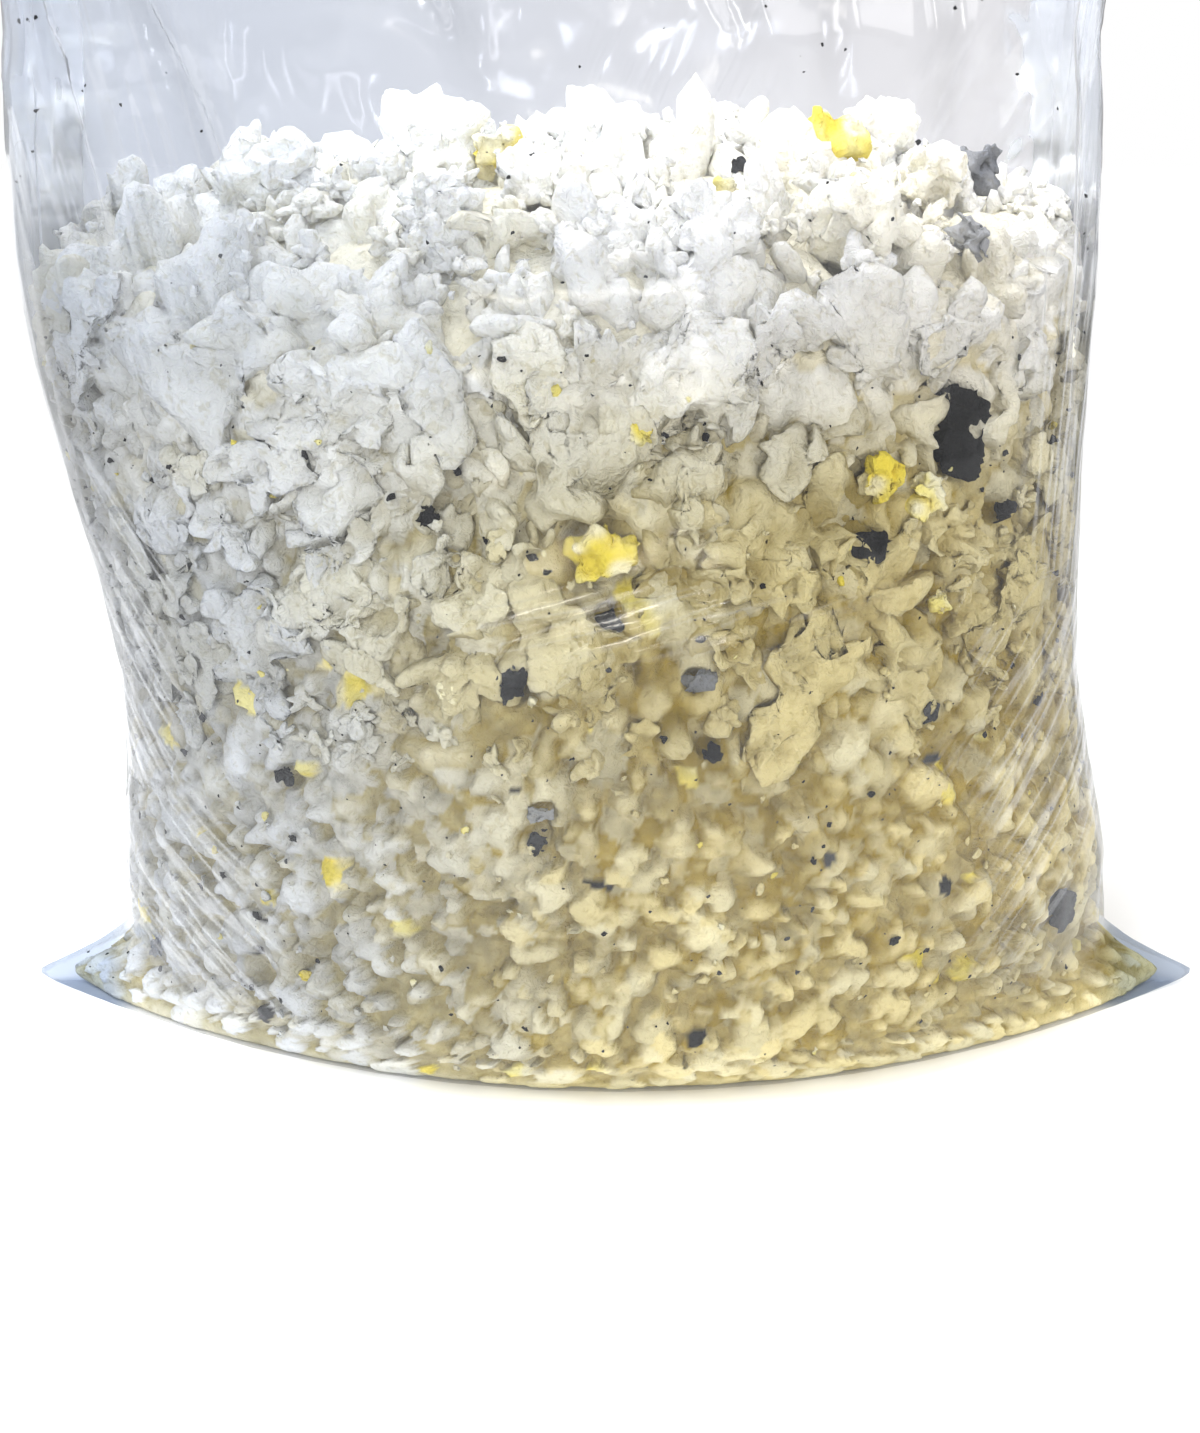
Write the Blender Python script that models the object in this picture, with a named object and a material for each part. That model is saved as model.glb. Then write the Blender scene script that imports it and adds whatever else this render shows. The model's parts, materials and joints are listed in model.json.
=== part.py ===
"""Large clear poly bag, part filled with loose shredded foam and standing on its flat foot.

The film is one lofted shell, open at the mouth. Its level sections keep the bag's girth: where the
filling draws the sides in, the front and back bulge by as much as the film allows. At the foot the
two bottom corners stand out as pointed ears. The filling is a bulk of packed shreds under a lumpy
heap, with the largest shreds seated in pockets of their own, flat against the film where they meet it.

Metres, +Z up. The origin is on the floor, under the middle of the bag. +X is to the right.
"""

import functools
import math
import random

import bmesh
import bpy
from mathutils import Euler, Vector, noise

# The bag as it is sold, lying flat
FLAT_WIDTH = 0.762
FLAT_LENGTH = 0.914
FILM_WALL = 0.0004

# The bag as it stands. A draw-in is how much narrower the filled bag is than it lies flat.
FOOT_DEPTH = 0.300
FOOT_FORWARD = 0.030
EAR_DRAW_IN = 0.018
EAR_NOSE = 0.010
EAR_NOSE_ROUND = 0.012
EAR_TOP = 0.045
EAR_DRAW_IN_TOP = 0.140
WAIST_HEIGHT = 0.230
WAIST_DRAW_IN = 0.186
SHOULDER_HEIGHT = 0.470
SHOULDER_DRAW_IN = 0.151
NECK_HEIGHT = 0.600
NECK_DRAW_IN = 0.164
MOUTH_DRAW_IN = 0.142
BULGE = 0.040
BULGE_HEIGHT = 0.120
ROUND_HEIGHT = 0.100
LEAN = 0.035
LEAN_START = 0.060
LEAN_END = 0.500

# The filling
FILL_GAP = 0.0004
SEAT_GAP = 0.0004
RIM_HEIGHT = 0.430
CROWN_HEIGHT = 0.520
SIDE_RISE = 0.038
RIGHT_RISE = 0.012
BACK_RISE = 0.020
HEAP_ROUNDNESS = 0.8
LUMP_SIZE = 0.045
LUMP_HEIGHT = 0.010
HEAP_GRID = 0.030
HEAP_MARGIN = 0.020

# Facets
AROUND = 48
BODY_LEVELS = 12
GIRTH_STEPS = 40
FINE_SHRED = 0.022

# Torn shreds
TORN_DEPTH = 0.34
TORN_SCALE = 1.25
SEED = 41

COLOURS = {
    "film": (0.90, 0.92, 0.95),
    "bulk": (0.72, 0.68, 0.46),
    "white": (0.80, 0.82, 0.80),
    "cream": (0.78, 0.76, 0.58),
    "yellow": (0.78, 0.62, 0.12),
    "grey": (0.26, 0.27, 0.30),
    "charcoal": (0.020, 0.020, 0.022),
}
FOAM_ROUGHNESS = 0.95
FILM_ROUGHNESS = 0.12
FILM_ALPHA = 0.25

# Shreds pressed against the film: colour, place across as a share of the half width, place up as a
# share of the rim height, then width, depth and height.
FRONT_SHREDS = (
    ("charcoal", 0.70, 0.90, 0.038, 0.030, 0.048),
    ("charcoal", 0.53, 0.77, 0.022, 0.018, 0.022),
    ("charcoal", 0.79, 0.79, 0.016, 0.014, 0.016),
    ("charcoal", -0.14, 0.62, 0.019, 0.018, 0.027),
    ("charcoal", -0.24, 0.82, 0.021, 0.014, 0.012),
    ("charcoal", 0.05, 0.70, 0.018, 0.014, 0.015),
    ("charcoal", 0.63, 0.55, 0.018, 0.016, 0.018),
    ("charcoal", 0.88, 0.20, 0.028, 0.022, 0.030),
    ("charcoal", 0.21, 0.53, 0.016, 0.012, 0.014),
    ("charcoal", -0.60, 0.47, 0.014, 0.012, 0.012),
    ("charcoal", -0.13, 0.41, 0.013, 0.012, 0.016),
    ("grey", 0.20, 0.62, 0.020, 0.016, 0.018),
    ("grey", -0.12, 0.45, 0.020, 0.014, 0.012),
    ("grey", -0.92, 0.11, 0.018, 0.014, 0.020),
    ("yellow", 0.55, 0.85, 0.026, 0.020, 0.024),
    ("yellow", 0.05, 0.78, 0.045, 0.030, 0.030),
    ("yellow", 0.66, 0.69, 0.014, 0.012, 0.020),
    ("yellow", 0.13, 0.92, 0.016, 0.014, 0.014),
    ("yellow", -0.26, 0.61, 0.016, 0.012, 0.014),
    ("yellow", -0.60, 0.16, 0.014, 0.012, 0.012),
    ("cream", -0.04, 0.98, 0.045, 0.040, 0.045),
    ("cream", 0.36, 0.74, 0.040, 0.030, 0.040),
    ("cream", -0.42, 0.72, 0.050, 0.035, 0.045),
    ("white", 0.24, 0.98, 0.060, 0.050, 0.055),
    ("white", -0.40, 0.94, 0.065, 0.045, 0.055),
    ("white", -0.18, 0.72, 0.048, 0.035, 0.042),
    ("white", -0.72, 0.80, 0.050, 0.035, 0.055),
)

# Shreds on top of the heap: colour, place across and place in depth as shares of the half width and
# the half depth, then width, depth and height.
TOP_SHREDS = (
    ("yellow", 0.48, 0.00, 0.050, 0.040, 0.036),
    ("yellow", 0.30, -0.36, 0.020, 0.016, 0.016),
    ("yellow", -0.12, -0.10, 0.026, 0.020, 0.030),
    ("charcoal", 0.33, -0.14, 0.016, 0.012, 0.012),
    ("grey", 0.76, 0.02, 0.036, 0.030, 0.024),
    ("grey", 0.72, -0.48, 0.022, 0.018, 0.026),
    ("cream", 0.66, -0.22, 0.042, 0.036, 0.036),
    ("white", -0.24, 0.08, 0.070, 0.055, 0.055),
    ("white", 0.08, 0.10, 0.062, 0.055, 0.048),
    ("white", -0.52, -0.12, 0.062, 0.050, 0.046),
)

# White and cream shreds spread over the rest of the heap and down the back
HEAP_SHREDS = 9
BACK_SHREDS = 7
SPREAD_SIZE = (0.040, 0.060)
SPREAD_REACH = 0.78
BACK_LOW = 0.25
BACK_HIGH = 0.90
SPREAD_TRIES = 400


def smooth(start, end, value):
    """0 before start and 1 after end, with an even ease between them."""
    share = min(max((value - start) / (end - start), 0.0), 1.0)
    return share * share * (3 - 2 * share)


def mouth_height():
    """Half of the foot lies under the bag, and the rest of the flat length stands up."""
    return FLAT_LENGTH - FOOT_DEPTH / 2


def draw_in(height):
    """How much narrower than flat the body stands, eased between the waist, shoulder and neck."""
    steps = (
        (EAR_TOP, EAR_DRAW_IN_TOP),
        (WAIST_HEIGHT, WAIST_DRAW_IN),
        (SHOULDER_HEIGHT, SHOULDER_DRAW_IN),
        (NECK_HEIGHT, NECK_DRAW_IN),
        (max(mouth_height(), NECK_HEIGHT + LUMP_SIZE), MOUTH_DRAW_IN),
    )
    amount = steps[0][1]
    for (low, before), (high, after) in zip(steps, steps[1:]):
        amount += (after - before) * smooth(low, high, height)
    return amount


def half_width(height):
    """Half the width of the level section at a height, with the ears at the foot."""
    body = (FLAT_WIDTH - draw_in(height)) / 2
    reach = (FLAT_WIDTH - EAR_DRAW_IN) / 2
    if height >= EAR_TOP:
        return body
    if height <= EAR_NOSE:
        return reach - EAR_NOSE_ROUND * (1 - height / EAR_NOSE) ** 2
    share = (height - EAR_NOSE) / (EAR_TOP - EAR_NOSE)
    return body + (reach - body) * (1 - share) ** 1.25


def pointedness(height):
    """2 for the lens-shaped foot, easing to 1 for the oval body."""
    share = min(max((height - EAR_NOSE) / (ROUND_HEIGHT - EAR_NOSE), 0.0), 1.0)
    return 1 + (1 - share) ** 2


def oval(width, depth, power):
    """Points of one level section, pointed at its two sides where the power is over 1."""
    points = []
    for step in range(AROUND):
        angle = 2 * math.pi * step / AROUND
        across = math.cos(angle)
        away = math.sin(angle)
        points.append((width * across, depth * math.copysign(abs(away) ** power, away)))
    return points


def girth(points):
    return sum(math.dist(point, points[step - 1]) for step, point in enumerate(points))


@functools.cache
def half_depth(height):
    """Half the depth at a height: the foot's bulge, up to what the film's own girth allows."""
    width = half_width(height)
    low, high = 0.0, FLAT_WIDTH / 2
    for _ in range(GIRTH_STEPS):
        middle = (low + high) / 2
        if girth(oval(width, middle, pointedness(height))) < 2 * FLAT_WIDTH:
            low = middle
        else:
            high = middle
    share = min(height / BULGE_HEIGHT, 1.0)
    return min(low, FOOT_DEPTH / 2 + BULGE * (1 - (1 - share) ** 2))


def sway(height):
    """How far the bag leans to the left at a height."""
    return -LEAN * smooth(LEAN_START, LEAN_END, height)


def forward(across, height):
    """How far the foot stands forward of its two ears, at a share of the half width."""
    return FOOT_FORWARD * (1 - across**2) * (1 - smooth(EAR_NOSE, EAR_TOP, height))


def levels():
    """Heights of the film's sections, close together at the ears."""
    nose = [0.0, EAR_NOSE / 2, EAR_NOSE]
    ear = [EAR_NOSE + (EAR_TOP - EAR_NOSE) * share for share in (0.25, 0.6)]
    rise = (mouth_height() - EAR_TOP) / BODY_LEVELS
    return nose + ear + [EAR_TOP + rise * step for step in range(BODY_LEVELS + 1)]


def outer_rings():
    """The film's outer surface as rings of points, from the foot to the mouth."""
    rings = []
    for height in levels():
        width = half_width(height)
        points = oval(width, half_depth(height), pointedness(height))
        rings.append(
            [Vector((x + sway(height), y - forward(x / width, height), height)) for x, y in points]
        )
    return rings


def add_rings(bm, rings, outward):
    """Faces between the rings and across the lowest one. Returns each ring's vertices.

    Each strip is cut into triangles the same way, so that skins set in from one another keep
    their gap.
    """
    made = [[bm.verts.new(point) for point in ring] for ring in rings]
    for lower, upper in zip(made, made[1:]):
        for step in range(AROUND):
            before = step - 1
            for corners in (
                [lower[before], lower[step], upper[step]],
                [lower[before], upper[step], upper[before]],
            ):
                bm.faces.new(corners if outward else corners[::-1])
    bm.faces.new(made[0][::-1] if outward else made[0])
    return made


def inset_rings(distance):
    """The same rings, set inwards square to the film, so that an even wall or gap is left."""
    bm = bmesh.new()
    made = add_rings(bm, outer_rings(), outward=True)
    bm.normal_update()
    rings = [[v.co - v.normal * distance * v.calc_shell_factor() for v in ring] for ring in made]
    bm.free()
    return rings


def link(name, bm, material_slot=None):
    """Makes a named object from a bmesh, smooth-shaded where its faces run on."""
    mesh = bpy.data.meshes.new(name)
    bm.to_mesh(mesh)
    bm.free()
    mesh.shade_smooth()
    mesh.set_sharp_from_angle(angle=math.radians(50))
    made = bpy.data.objects.new(name, mesh)
    bpy.context.scene.collection.objects.link(made)
    if material_slot is not None:
        mesh.materials.append(material_slot)
    return made


def guide(made):
    """Marks a cutter or a guide, which is not a piece of the bag."""
    made.hide_render = True
    made.display_type = "WIRE"
    return made


def cut(piece, operation, cutter=None, cutters=None):
    """Adds a Boolean with one cutter, or with a collection of them."""
    modifier = piece.modifiers.new(operation.title(), "BOOLEAN")
    modifier.operation = operation
    modifier.solver = "EXACT"
    if cutters is None:
        modifier.object = cutter
    else:
        modifier.operand_type = "COLLECTION"
        modifier.collection = cutters


def make_material(name, colour, roughness, alpha=1.0):
    material = bpy.data.materials.new(name)
    material.use_nodes = True
    shader = material.node_tree.nodes["Principled BSDF"]
    shader.inputs["Base Color"].default_value = (*colour, 1.0)
    shader.inputs["Roughness"].default_value = roughness
    shader.inputs["Metallic"].default_value = 0.0
    shader.inputs["Alpha"].default_value = alpha
    return material


def make_film():
    """The bag itself: outer skin, inner skin and the cut edge of the mouth between them."""
    bm = bmesh.new()
    outer = add_rings(bm, outer_rings(), outward=True)
    inner = add_rings(bm, inset_rings(FILM_WALL), outward=False)
    for step in range(AROUND):
        before = step - 1
        bm.faces.new([outer[-1][before], outer[-1][step], inner[-1][step], inner[-1][before]])
    film = make_material("film", COLOURS["film"], FILM_ROUGHNESS, FILM_ALPHA)
    return link("bag_film", bm, film)


def make_fill_space():
    """A guide: the room inside the film, less the filling's gap, closed across the mouth."""
    bm = bmesh.new()
    made = add_rings(bm, inset_rings(FILM_WALL + FILL_GAP), outward=True)
    bm.faces.new(made[-1])
    return guide(link("fill_space", bm))


def heap_height(x, y):
    """Height of the heap's surface: a low mound, higher at the sides and the back than in front."""
    across = (x - sway(RIM_HEIGHT)) / half_width(RIM_HEIGHT)
    away = y / half_depth(RIM_HEIGHT)
    rim = RIM_HEIGHT + SIDE_RISE * across**2 + RIGHT_RISE * across + BACK_RISE * away
    mound = max(1 - across**2 - away**2, 0.0) ** HEAP_ROUNDNESS
    lump = noise.noise(Vector((x, y, SEED * LUMP_SIZE)) / LUMP_SIZE) * LUMP_HEIGHT
    return rim + (CROWN_HEIGHT - RIM_HEIGHT) * mound + lump


def make_heap_block():
    """A guide: everything below the heap's surface, wider than the bag all round."""
    bm = bmesh.new()
    reach_x = FLAT_WIDTH / 2 + HEAP_MARGIN
    reach_y = FOOT_DEPTH / 2 + BULGE + 2 * HEAP_MARGIN
    bmesh.ops.create_grid(
        bm,
        x_segments=round(2 * reach_x / HEAP_GRID),
        y_segments=round(2 * reach_y / HEAP_GRID),
        size=1.0,
    )
    for vertex in bm.verts:
        x = vertex.co.x * reach_x
        y = vertex.co.y * reach_y
        vertex.co = (x, y, heap_height(x, y))
    below = bmesh.ops.extrude_face_region(bm, geom=bm.faces[:])["geom"]
    for vertex in below:
        if isinstance(vertex, bmesh.types.BMVert):
            vertex.co.z = -HEAP_MARGIN
    bmesh.ops.recalc_face_normals(bm, faces=bm.faces[:])
    return guide(link("heap_block", bm))


def torn_blob(size, turn, seed):
    """A closed lump with torn hollows and corners, about its own centre."""
    bm = bmesh.new()
    finest = max(size) > FINE_SHRED
    bmesh.ops.create_icosphere(bm, subdivisions=2 if finest else 1, radius=1.0)
    for vertex in bm.verts:
        place = vertex.co * TORN_SCALE + Vector((seed * 3.1, seed * 1.7, 0.0))
        vertex.co *= 1 + TORN_DEPTH * noise.noise(place)
    bmesh.ops.scale(bm, vec=Vector(size) / 2, verts=bm.verts)
    bmesh.ops.rotate(bm, cent=(0, 0, 0), matrix=turn.to_matrix(), verts=bm.verts)
    bm.normal_update()
    return bm


class Fill:
    """The filling: the bulk, and the single shreds seated in its pockets."""

    def __init__(self):
        self.space = make_fill_space()
        self.heap = make_heap_block()
        self.pockets = bpy.data.collections.new("pockets")
        bpy.context.scene.collection.children.link(self.pockets)
        self.materials = {}
        for colour in ("bulk", "white", "cream", "yellow", "grey", "charcoal"):
            self.materials[colour] = make_material(colour, COLOURS[colour], FOAM_ROUGHNESS)
        self.counts = {}
        self.seated = []
        self.random = random.Random(SEED)

    def add_bulk(self):
        """The packed shreds, as much of the room inside the film as lies under the heap."""
        bm = bmesh.new()
        bm.from_mesh(self.space.data)
        bulk = link("packed_shreds", bm, self.materials["bulk"])
        cut(bulk, "INTERSECT", self.heap)
        cut(bulk, "DIFFERENCE", cutters=self.pockets)
        return bulk

    def add_shred(self, colour, centre, size):
        """One torn shred, kept inside the film, with its pocket in the bulk. It gives way to the
        shreds that were seated before it."""
        number = self.counts.get(colour, 0) + 1
        self.counts[colour] = number
        name = f"{colour}_shred_{number:02d}"
        turn = Euler([self.random.uniform(-0.5, 0.5) for _ in range(3)])
        seed = len(self.seated) + 1
        shred = link(name, torn_blob(size, turn, seed), self.materials[colour])
        pocket_bm = torn_blob(size, turn, seed)
        for vertex in pocket_bm.verts:
            vertex.co += vertex.normal * SEAT_GAP * vertex.calc_shell_factor()
        pocket = guide(link(f"{name}_pocket", pocket_bm))
        bpy.context.scene.collection.objects.unlink(pocket)
        self.pockets.objects.link(pocket)
        shred.location = centre
        pocket.location = centre
        cut(shred, "INTERSECT", self.space)
        reach = max(size) / 2 * (1 + TORN_DEPTH)
        for other, other_centre, other_reach in self.seated:
            if (other_centre - centre).length < reach + other_reach:
                cut(shred, "DIFFERENCE", other)
        self.seated.append((pocket, centre, reach))

    def against_film(self, across, up, side, depth):
        """A centre from which a shred of this depth reaches the film, in front or at the back."""
        height = up * RIM_HEIGHT
        away = half_depth(height) * (1 - across**2) ** (pointedness(height) / 2)
        inset = FILM_WALL + FILL_GAP + depth * 0.3
        x = across * half_width(height) + sway(height)
        return Vector((x, side * (away - inset) - forward(across, height), height))

    def on_heap(self, across, away, height):
        """A centre from which a shred of this height stands out of the heap by about half."""
        x = across * half_width(RIM_HEIGHT) + sway(RIM_HEIGHT)
        y = away * half_depth(RIM_HEIGHT)
        return Vector((x, y, heap_height(x, y) + height * 0.1))

    def is_free(self, centre, reach):
        return all((other - centre).length > reach + room for _, other, room in self.seated)

    def spread(self, count, place):
        """Seats a number of white and cream shreds where the others leave room."""
        done = 0
        for attempt in range(SPREAD_TRIES):
            if done == count:
                break
            size = [self.random.uniform(*SPREAD_SIZE) for _ in range(3)]
            centre = place(self.random, size)
            crowding = 1 - attempt / SPREAD_TRIES
            if self.is_free(centre, max(size) / 2 * (1 + TORN_DEPTH) * crowding):
                self.add_shred("cream" if done % 3 == 2 else "white", centre, size)
                done += 1


def make_filling():
    fill = Fill()
    for colour, across, up, *size in FRONT_SHREDS:
        fill.add_shred(colour, fill.against_film(across, up, -1, size[1]), size)
    for colour, across, away, *size in TOP_SHREDS:
        fill.add_shred(colour, fill.on_heap(across, away, size[2]), size)

    def heap_place(rng, size):
        angle = rng.uniform(0, 2 * math.pi)
        share = SPREAD_REACH * math.sqrt(rng.random())
        return fill.on_heap(share * math.cos(angle), share * math.sin(angle), size[2])

    def back_place(rng, size):
        across = rng.uniform(-SPREAD_REACH, SPREAD_REACH)
        return fill.against_film(across, rng.uniform(BACK_LOW, BACK_HIGH), 1, size[1])

    fill.spread(HEAP_SHREDS, heap_place)
    fill.spread(BACK_SHREDS, back_place)
    fill.add_bulk()


def main():
    for old in list(bpy.data.objects):
        bpy.data.objects.remove(old)
    make_film()
    make_filling()


main()
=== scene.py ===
"""Looks of a clear poly bag part filled with torn foam shreds.

Run as a script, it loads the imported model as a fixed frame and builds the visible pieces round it.
Metres, +Z up, +X to the right, +Y away from the camera.
"""

import json
import math

import bmesh
import bpy
import numpy as np
from bpy.props import FloatProperty, FloatVectorProperty, IntProperty, PointerProperty
from mathutils import Euler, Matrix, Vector
from mathutils.bvhtree import BVHTree

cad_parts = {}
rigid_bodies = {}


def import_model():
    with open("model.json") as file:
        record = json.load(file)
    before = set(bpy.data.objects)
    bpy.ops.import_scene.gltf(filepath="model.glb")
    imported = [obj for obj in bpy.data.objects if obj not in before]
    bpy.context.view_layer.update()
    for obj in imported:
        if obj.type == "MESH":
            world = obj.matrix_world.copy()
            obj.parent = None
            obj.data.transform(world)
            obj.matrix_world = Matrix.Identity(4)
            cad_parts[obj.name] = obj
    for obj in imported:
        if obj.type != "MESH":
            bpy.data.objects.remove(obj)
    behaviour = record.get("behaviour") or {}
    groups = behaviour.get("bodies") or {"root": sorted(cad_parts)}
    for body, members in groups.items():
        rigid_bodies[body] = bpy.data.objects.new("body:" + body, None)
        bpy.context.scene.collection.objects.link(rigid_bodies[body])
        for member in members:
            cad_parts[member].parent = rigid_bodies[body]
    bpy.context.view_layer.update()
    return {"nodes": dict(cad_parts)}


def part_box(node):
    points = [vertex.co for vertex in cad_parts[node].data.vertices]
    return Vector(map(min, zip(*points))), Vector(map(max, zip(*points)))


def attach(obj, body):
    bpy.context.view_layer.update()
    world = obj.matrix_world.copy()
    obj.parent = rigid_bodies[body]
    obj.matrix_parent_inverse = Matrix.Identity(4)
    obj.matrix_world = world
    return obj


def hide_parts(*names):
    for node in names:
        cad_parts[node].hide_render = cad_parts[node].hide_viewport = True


bl_info = {
    "name": "Clear bag of shredded foam",
    "version": (1, 0, 0),
    "blender": (4, 5, 0),
    "location": "3D View > Sidebar > Foam bag",
    "description": "Builds the crinkled film, the torn shreds and the studio round the packed model",
    "category": "Object",
}

# Starts from an empty scene, whatever the start-up file holds
for thing in list(bpy.data.objects):
    bpy.data.objects.remove(thing)

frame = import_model()
FILM_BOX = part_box("bag_film")
SINGLE_SHREDS = sorted(name for name in frame["nodes"] if "_shred_" in name)

# Heights between which the fill turns from one look to the next, from the foot up
MIDDLE_START = (0.17, 0.24)
MIDDLE_END = (0.36, 0.42)
# Over these heights the painted shade of the lower fill fades out
LOW_SHADE_END = (0.31, 0.45)
# Over these heights the top turns lighter as painted light
LIT_TOP_START = (0.36, 0.47)
CREAM_END = (0.24, 0.45)

# Loose shreds reach this far over the bulk's surface, and dents this far in from the film
HEAP_LIFT = 0.020
DENT = 0.0095

# Depth under the film over which foam turns to the painted shade of the gaps
GAP_SHADE_DEPTH = (0.002, 0.017)

# Below this height the visible fill presses the film straight down to the floor
FOOT_TOP = 0.040

# Height where the heap meets the film
RIM = 0.45


def is_dyed(name):
    return name.split("_")[0] in ("yellow", "grey", "charcoal")


# Settings


class FilmSettings(bpy.types.PropertyGroup):
    """Sizes and colours of the clear film."""

    around: IntProperty(name="Columns", description="Columns of the film's mesh", default=380)
    upward: IntProperty(name="Rows", description="Rows of the film's mesh", default=150)
    fold: FloatProperty(
        name="Fold",
        description="How far the slack film above the fill folds in and out",
        default=0.0075,
        unit="LENGTH",
    )
    cling: FloatProperty(
        name="Cling",
        description="How far the taut film moves off the fill",
        default=0.0012,
        unit="LENGTH",
    )
    # Painted light: the film's own tint is made cooler and darker on the left and warmer and lighter on the
    # right, as the light falls on each side
    tint_left: FloatVectorProperty(
        name="Tint, left",
        description="What one layer of film lets through on the left, with painted cool light and shade",
        subtype="COLOR",
        default=(0.79, 0.82, 0.88),
    )
    tint_right: FloatVectorProperty(
        name="Tint, right",
        description="What one layer of film lets through on the right, with painted warm light",
        subtype="COLOR",
        default=(0.905, 0.90, 0.915),
    )
    haze: FloatVectorProperty(
        name="Haze",
        description="Colour of the creased, milky film",
        subtype="COLOR",
        default=(0.86, 0.88, 0.92),
    )


class FoamSettings(bpy.types.PropertyGroup):
    """Sizes of the loose fill."""

    seed: IntProperty(name="Seed", description="Start of every random draw", default=7)
    film_gap: FloatProperty(
        name="Film gap",
        description="Room that the shreds leave inside the film",
        default=0.0022,
        unit="LENGTH",
    )
    tear: FloatProperty(
        name="Tear",
        description="Depth of the tears as a share of a shred's size",
        default=1.0,
        subtype="FACTOR",
    )


class ColourSettings(bpy.types.PropertyGroup):
    """Colours of the foams."""

    white: FloatVectorProperty(
        name="White", description="Fresh white foam", subtype="COLOR", default=(0.90, 0.905, 0.89)
    )
    cream: FloatVectorProperty(
        name="Cream", description="Aged cream foam", subtype="COLOR", default=(0.88, 0.83, 0.63)
    )
    # Painted shade: the fill low down is darkened as if lit from above, with a cool tint on the left
    low_shade_left: FloatVectorProperty(
        name="Low shade, left",
        description="Painted shade and cool tint of the fill low on the left",
        subtype="COLOR",
        default=(0.80, 0.825, 0.88),
    )
    # Painted shade: the fill low down is darkened as if lit from above, with a warm tint in the middle and
    # on the right
    low_shade_right: FloatVectorProperty(
        name="Low shade, right",
        description="Painted shade and warm tint of the fill low in the middle and on the right",
        subtype="COLOR",
        default=(0.93, 0.875, 0.635),
    )
    # Painted shade: the olive that the foam turns to deep in the gaps stands in for shade and for light
    # passing through the foam
    gap_shade: FloatVectorProperty(
        name="Gap shade", description="Painted shade of the foam deep in the gaps, olive as if lit through the foam", subtype="COLOR", default=(0.43, 0.33, 0.06)
    )
    yellow: FloatVectorProperty(
        name="Yellow", description="Dyed yellow foam", subtype="COLOR", default=(0.84, 0.71, 0.09)
    )
    lemon: FloatVectorProperty(
        name="Lemon",
        description="Pale parts of the yellow foam",
        subtype="COLOR",
        default=(0.89, 0.83, 0.38),
    )
    grey: FloatVectorProperty(
        name="Grey", description="Grey foam", subtype="COLOR", default=(0.20, 0.21, 0.23)
    )
    charcoal: FloatVectorProperty(
        name="Charcoal", description="Charcoal foam", subtype="COLOR", default=(0.017, 0.017, 0.018)
    )


class StageSettings(bpy.types.PropertyGroup):
    """Camera and light."""

    camera_height: FloatProperty(
        name="Camera height", description="Height of the camera", default=0.61, unit="LENGTH"
    )
    camera_distance: FloatProperty(
        name="Camera distance", description="Camera to the bag's middle plane", default=1.174, unit="LENGTH"
    )
    camera_pitch: FloatProperty(
        name="Camera pitch",
        description="How far the camera looks down",
        default=math.radians(20),
        subtype="ANGLE",
    )
    lens: FloatProperty(name="Lens", description="Focal length in millimetres", default=51.0)
    light: FloatProperty(name="Light", description="Strength of every lamp", default=1.0)


def settings():
    return bpy.context.scene.foam_bag


class BagSettings(bpy.types.PropertyGroup):
    """All the settings of the bag."""

    film: PointerProperty(type=FilmSettings)
    foam: PointerProperty(type=FoamSettings)
    colours: PointerProperty(type=ColourSettings)
    stage: PointerProperty(type=StageSettings)


# Noise on arrays of points


def lattice(cells, seed):
    """A random number from 0 to 1 for each whole-numbered cell."""
    cells = cells.astype(np.int64).astype(np.uint32)
    mixed = cells[..., 0] * np.uint32(374761393) + cells[..., 1] * np.uint32(668265263)
    mixed = mixed + cells[..., 2] * np.uint32(2147483647) + np.uint32(seed * 1274126177 % 2**32)
    mixed = (mixed ^ (mixed >> np.uint32(13))) * np.uint32(1103515245)
    mixed = (mixed ^ (mixed >> np.uint32(16))) * np.uint32(668265263)
    return (mixed ^ (mixed >> np.uint32(15))).astype(np.float64) / 2**32


def noise(points, size, seed):
    """Smooth noise from -1 to 1 with features of about this size."""
    scaled = points / size + 1000.0
    cell = np.floor(scaled)
    share = scaled - cell
    share = share * share * (3 - 2 * share)
    total = np.zeros(points.shape[:-1])
    for corner in range(8):
        step = np.array([corner & 1, corner >> 1 & 1, corner >> 2 & 1])
        weight = np.prod(np.where(step == 1, share, 1 - share), axis=-1)
        total += weight * lattice(cell + step, seed)
    return total * 2 - 1


def noise_vector(points, size, seed):
    return np.stack([noise(points, size, seed + step) for step in range(3)], axis=-1)


def ridges(points, size, seed):
    """Sharp crests from 0 to 1 where the noise passes through zero."""
    return 1 - np.abs(noise(points, size, seed))


def smooth(start, end, value):
    share = np.clip((value - start) / (end - start), 0, 1)
    return share * share * (3 - 2 * share)


# Meshes from arrays


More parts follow.
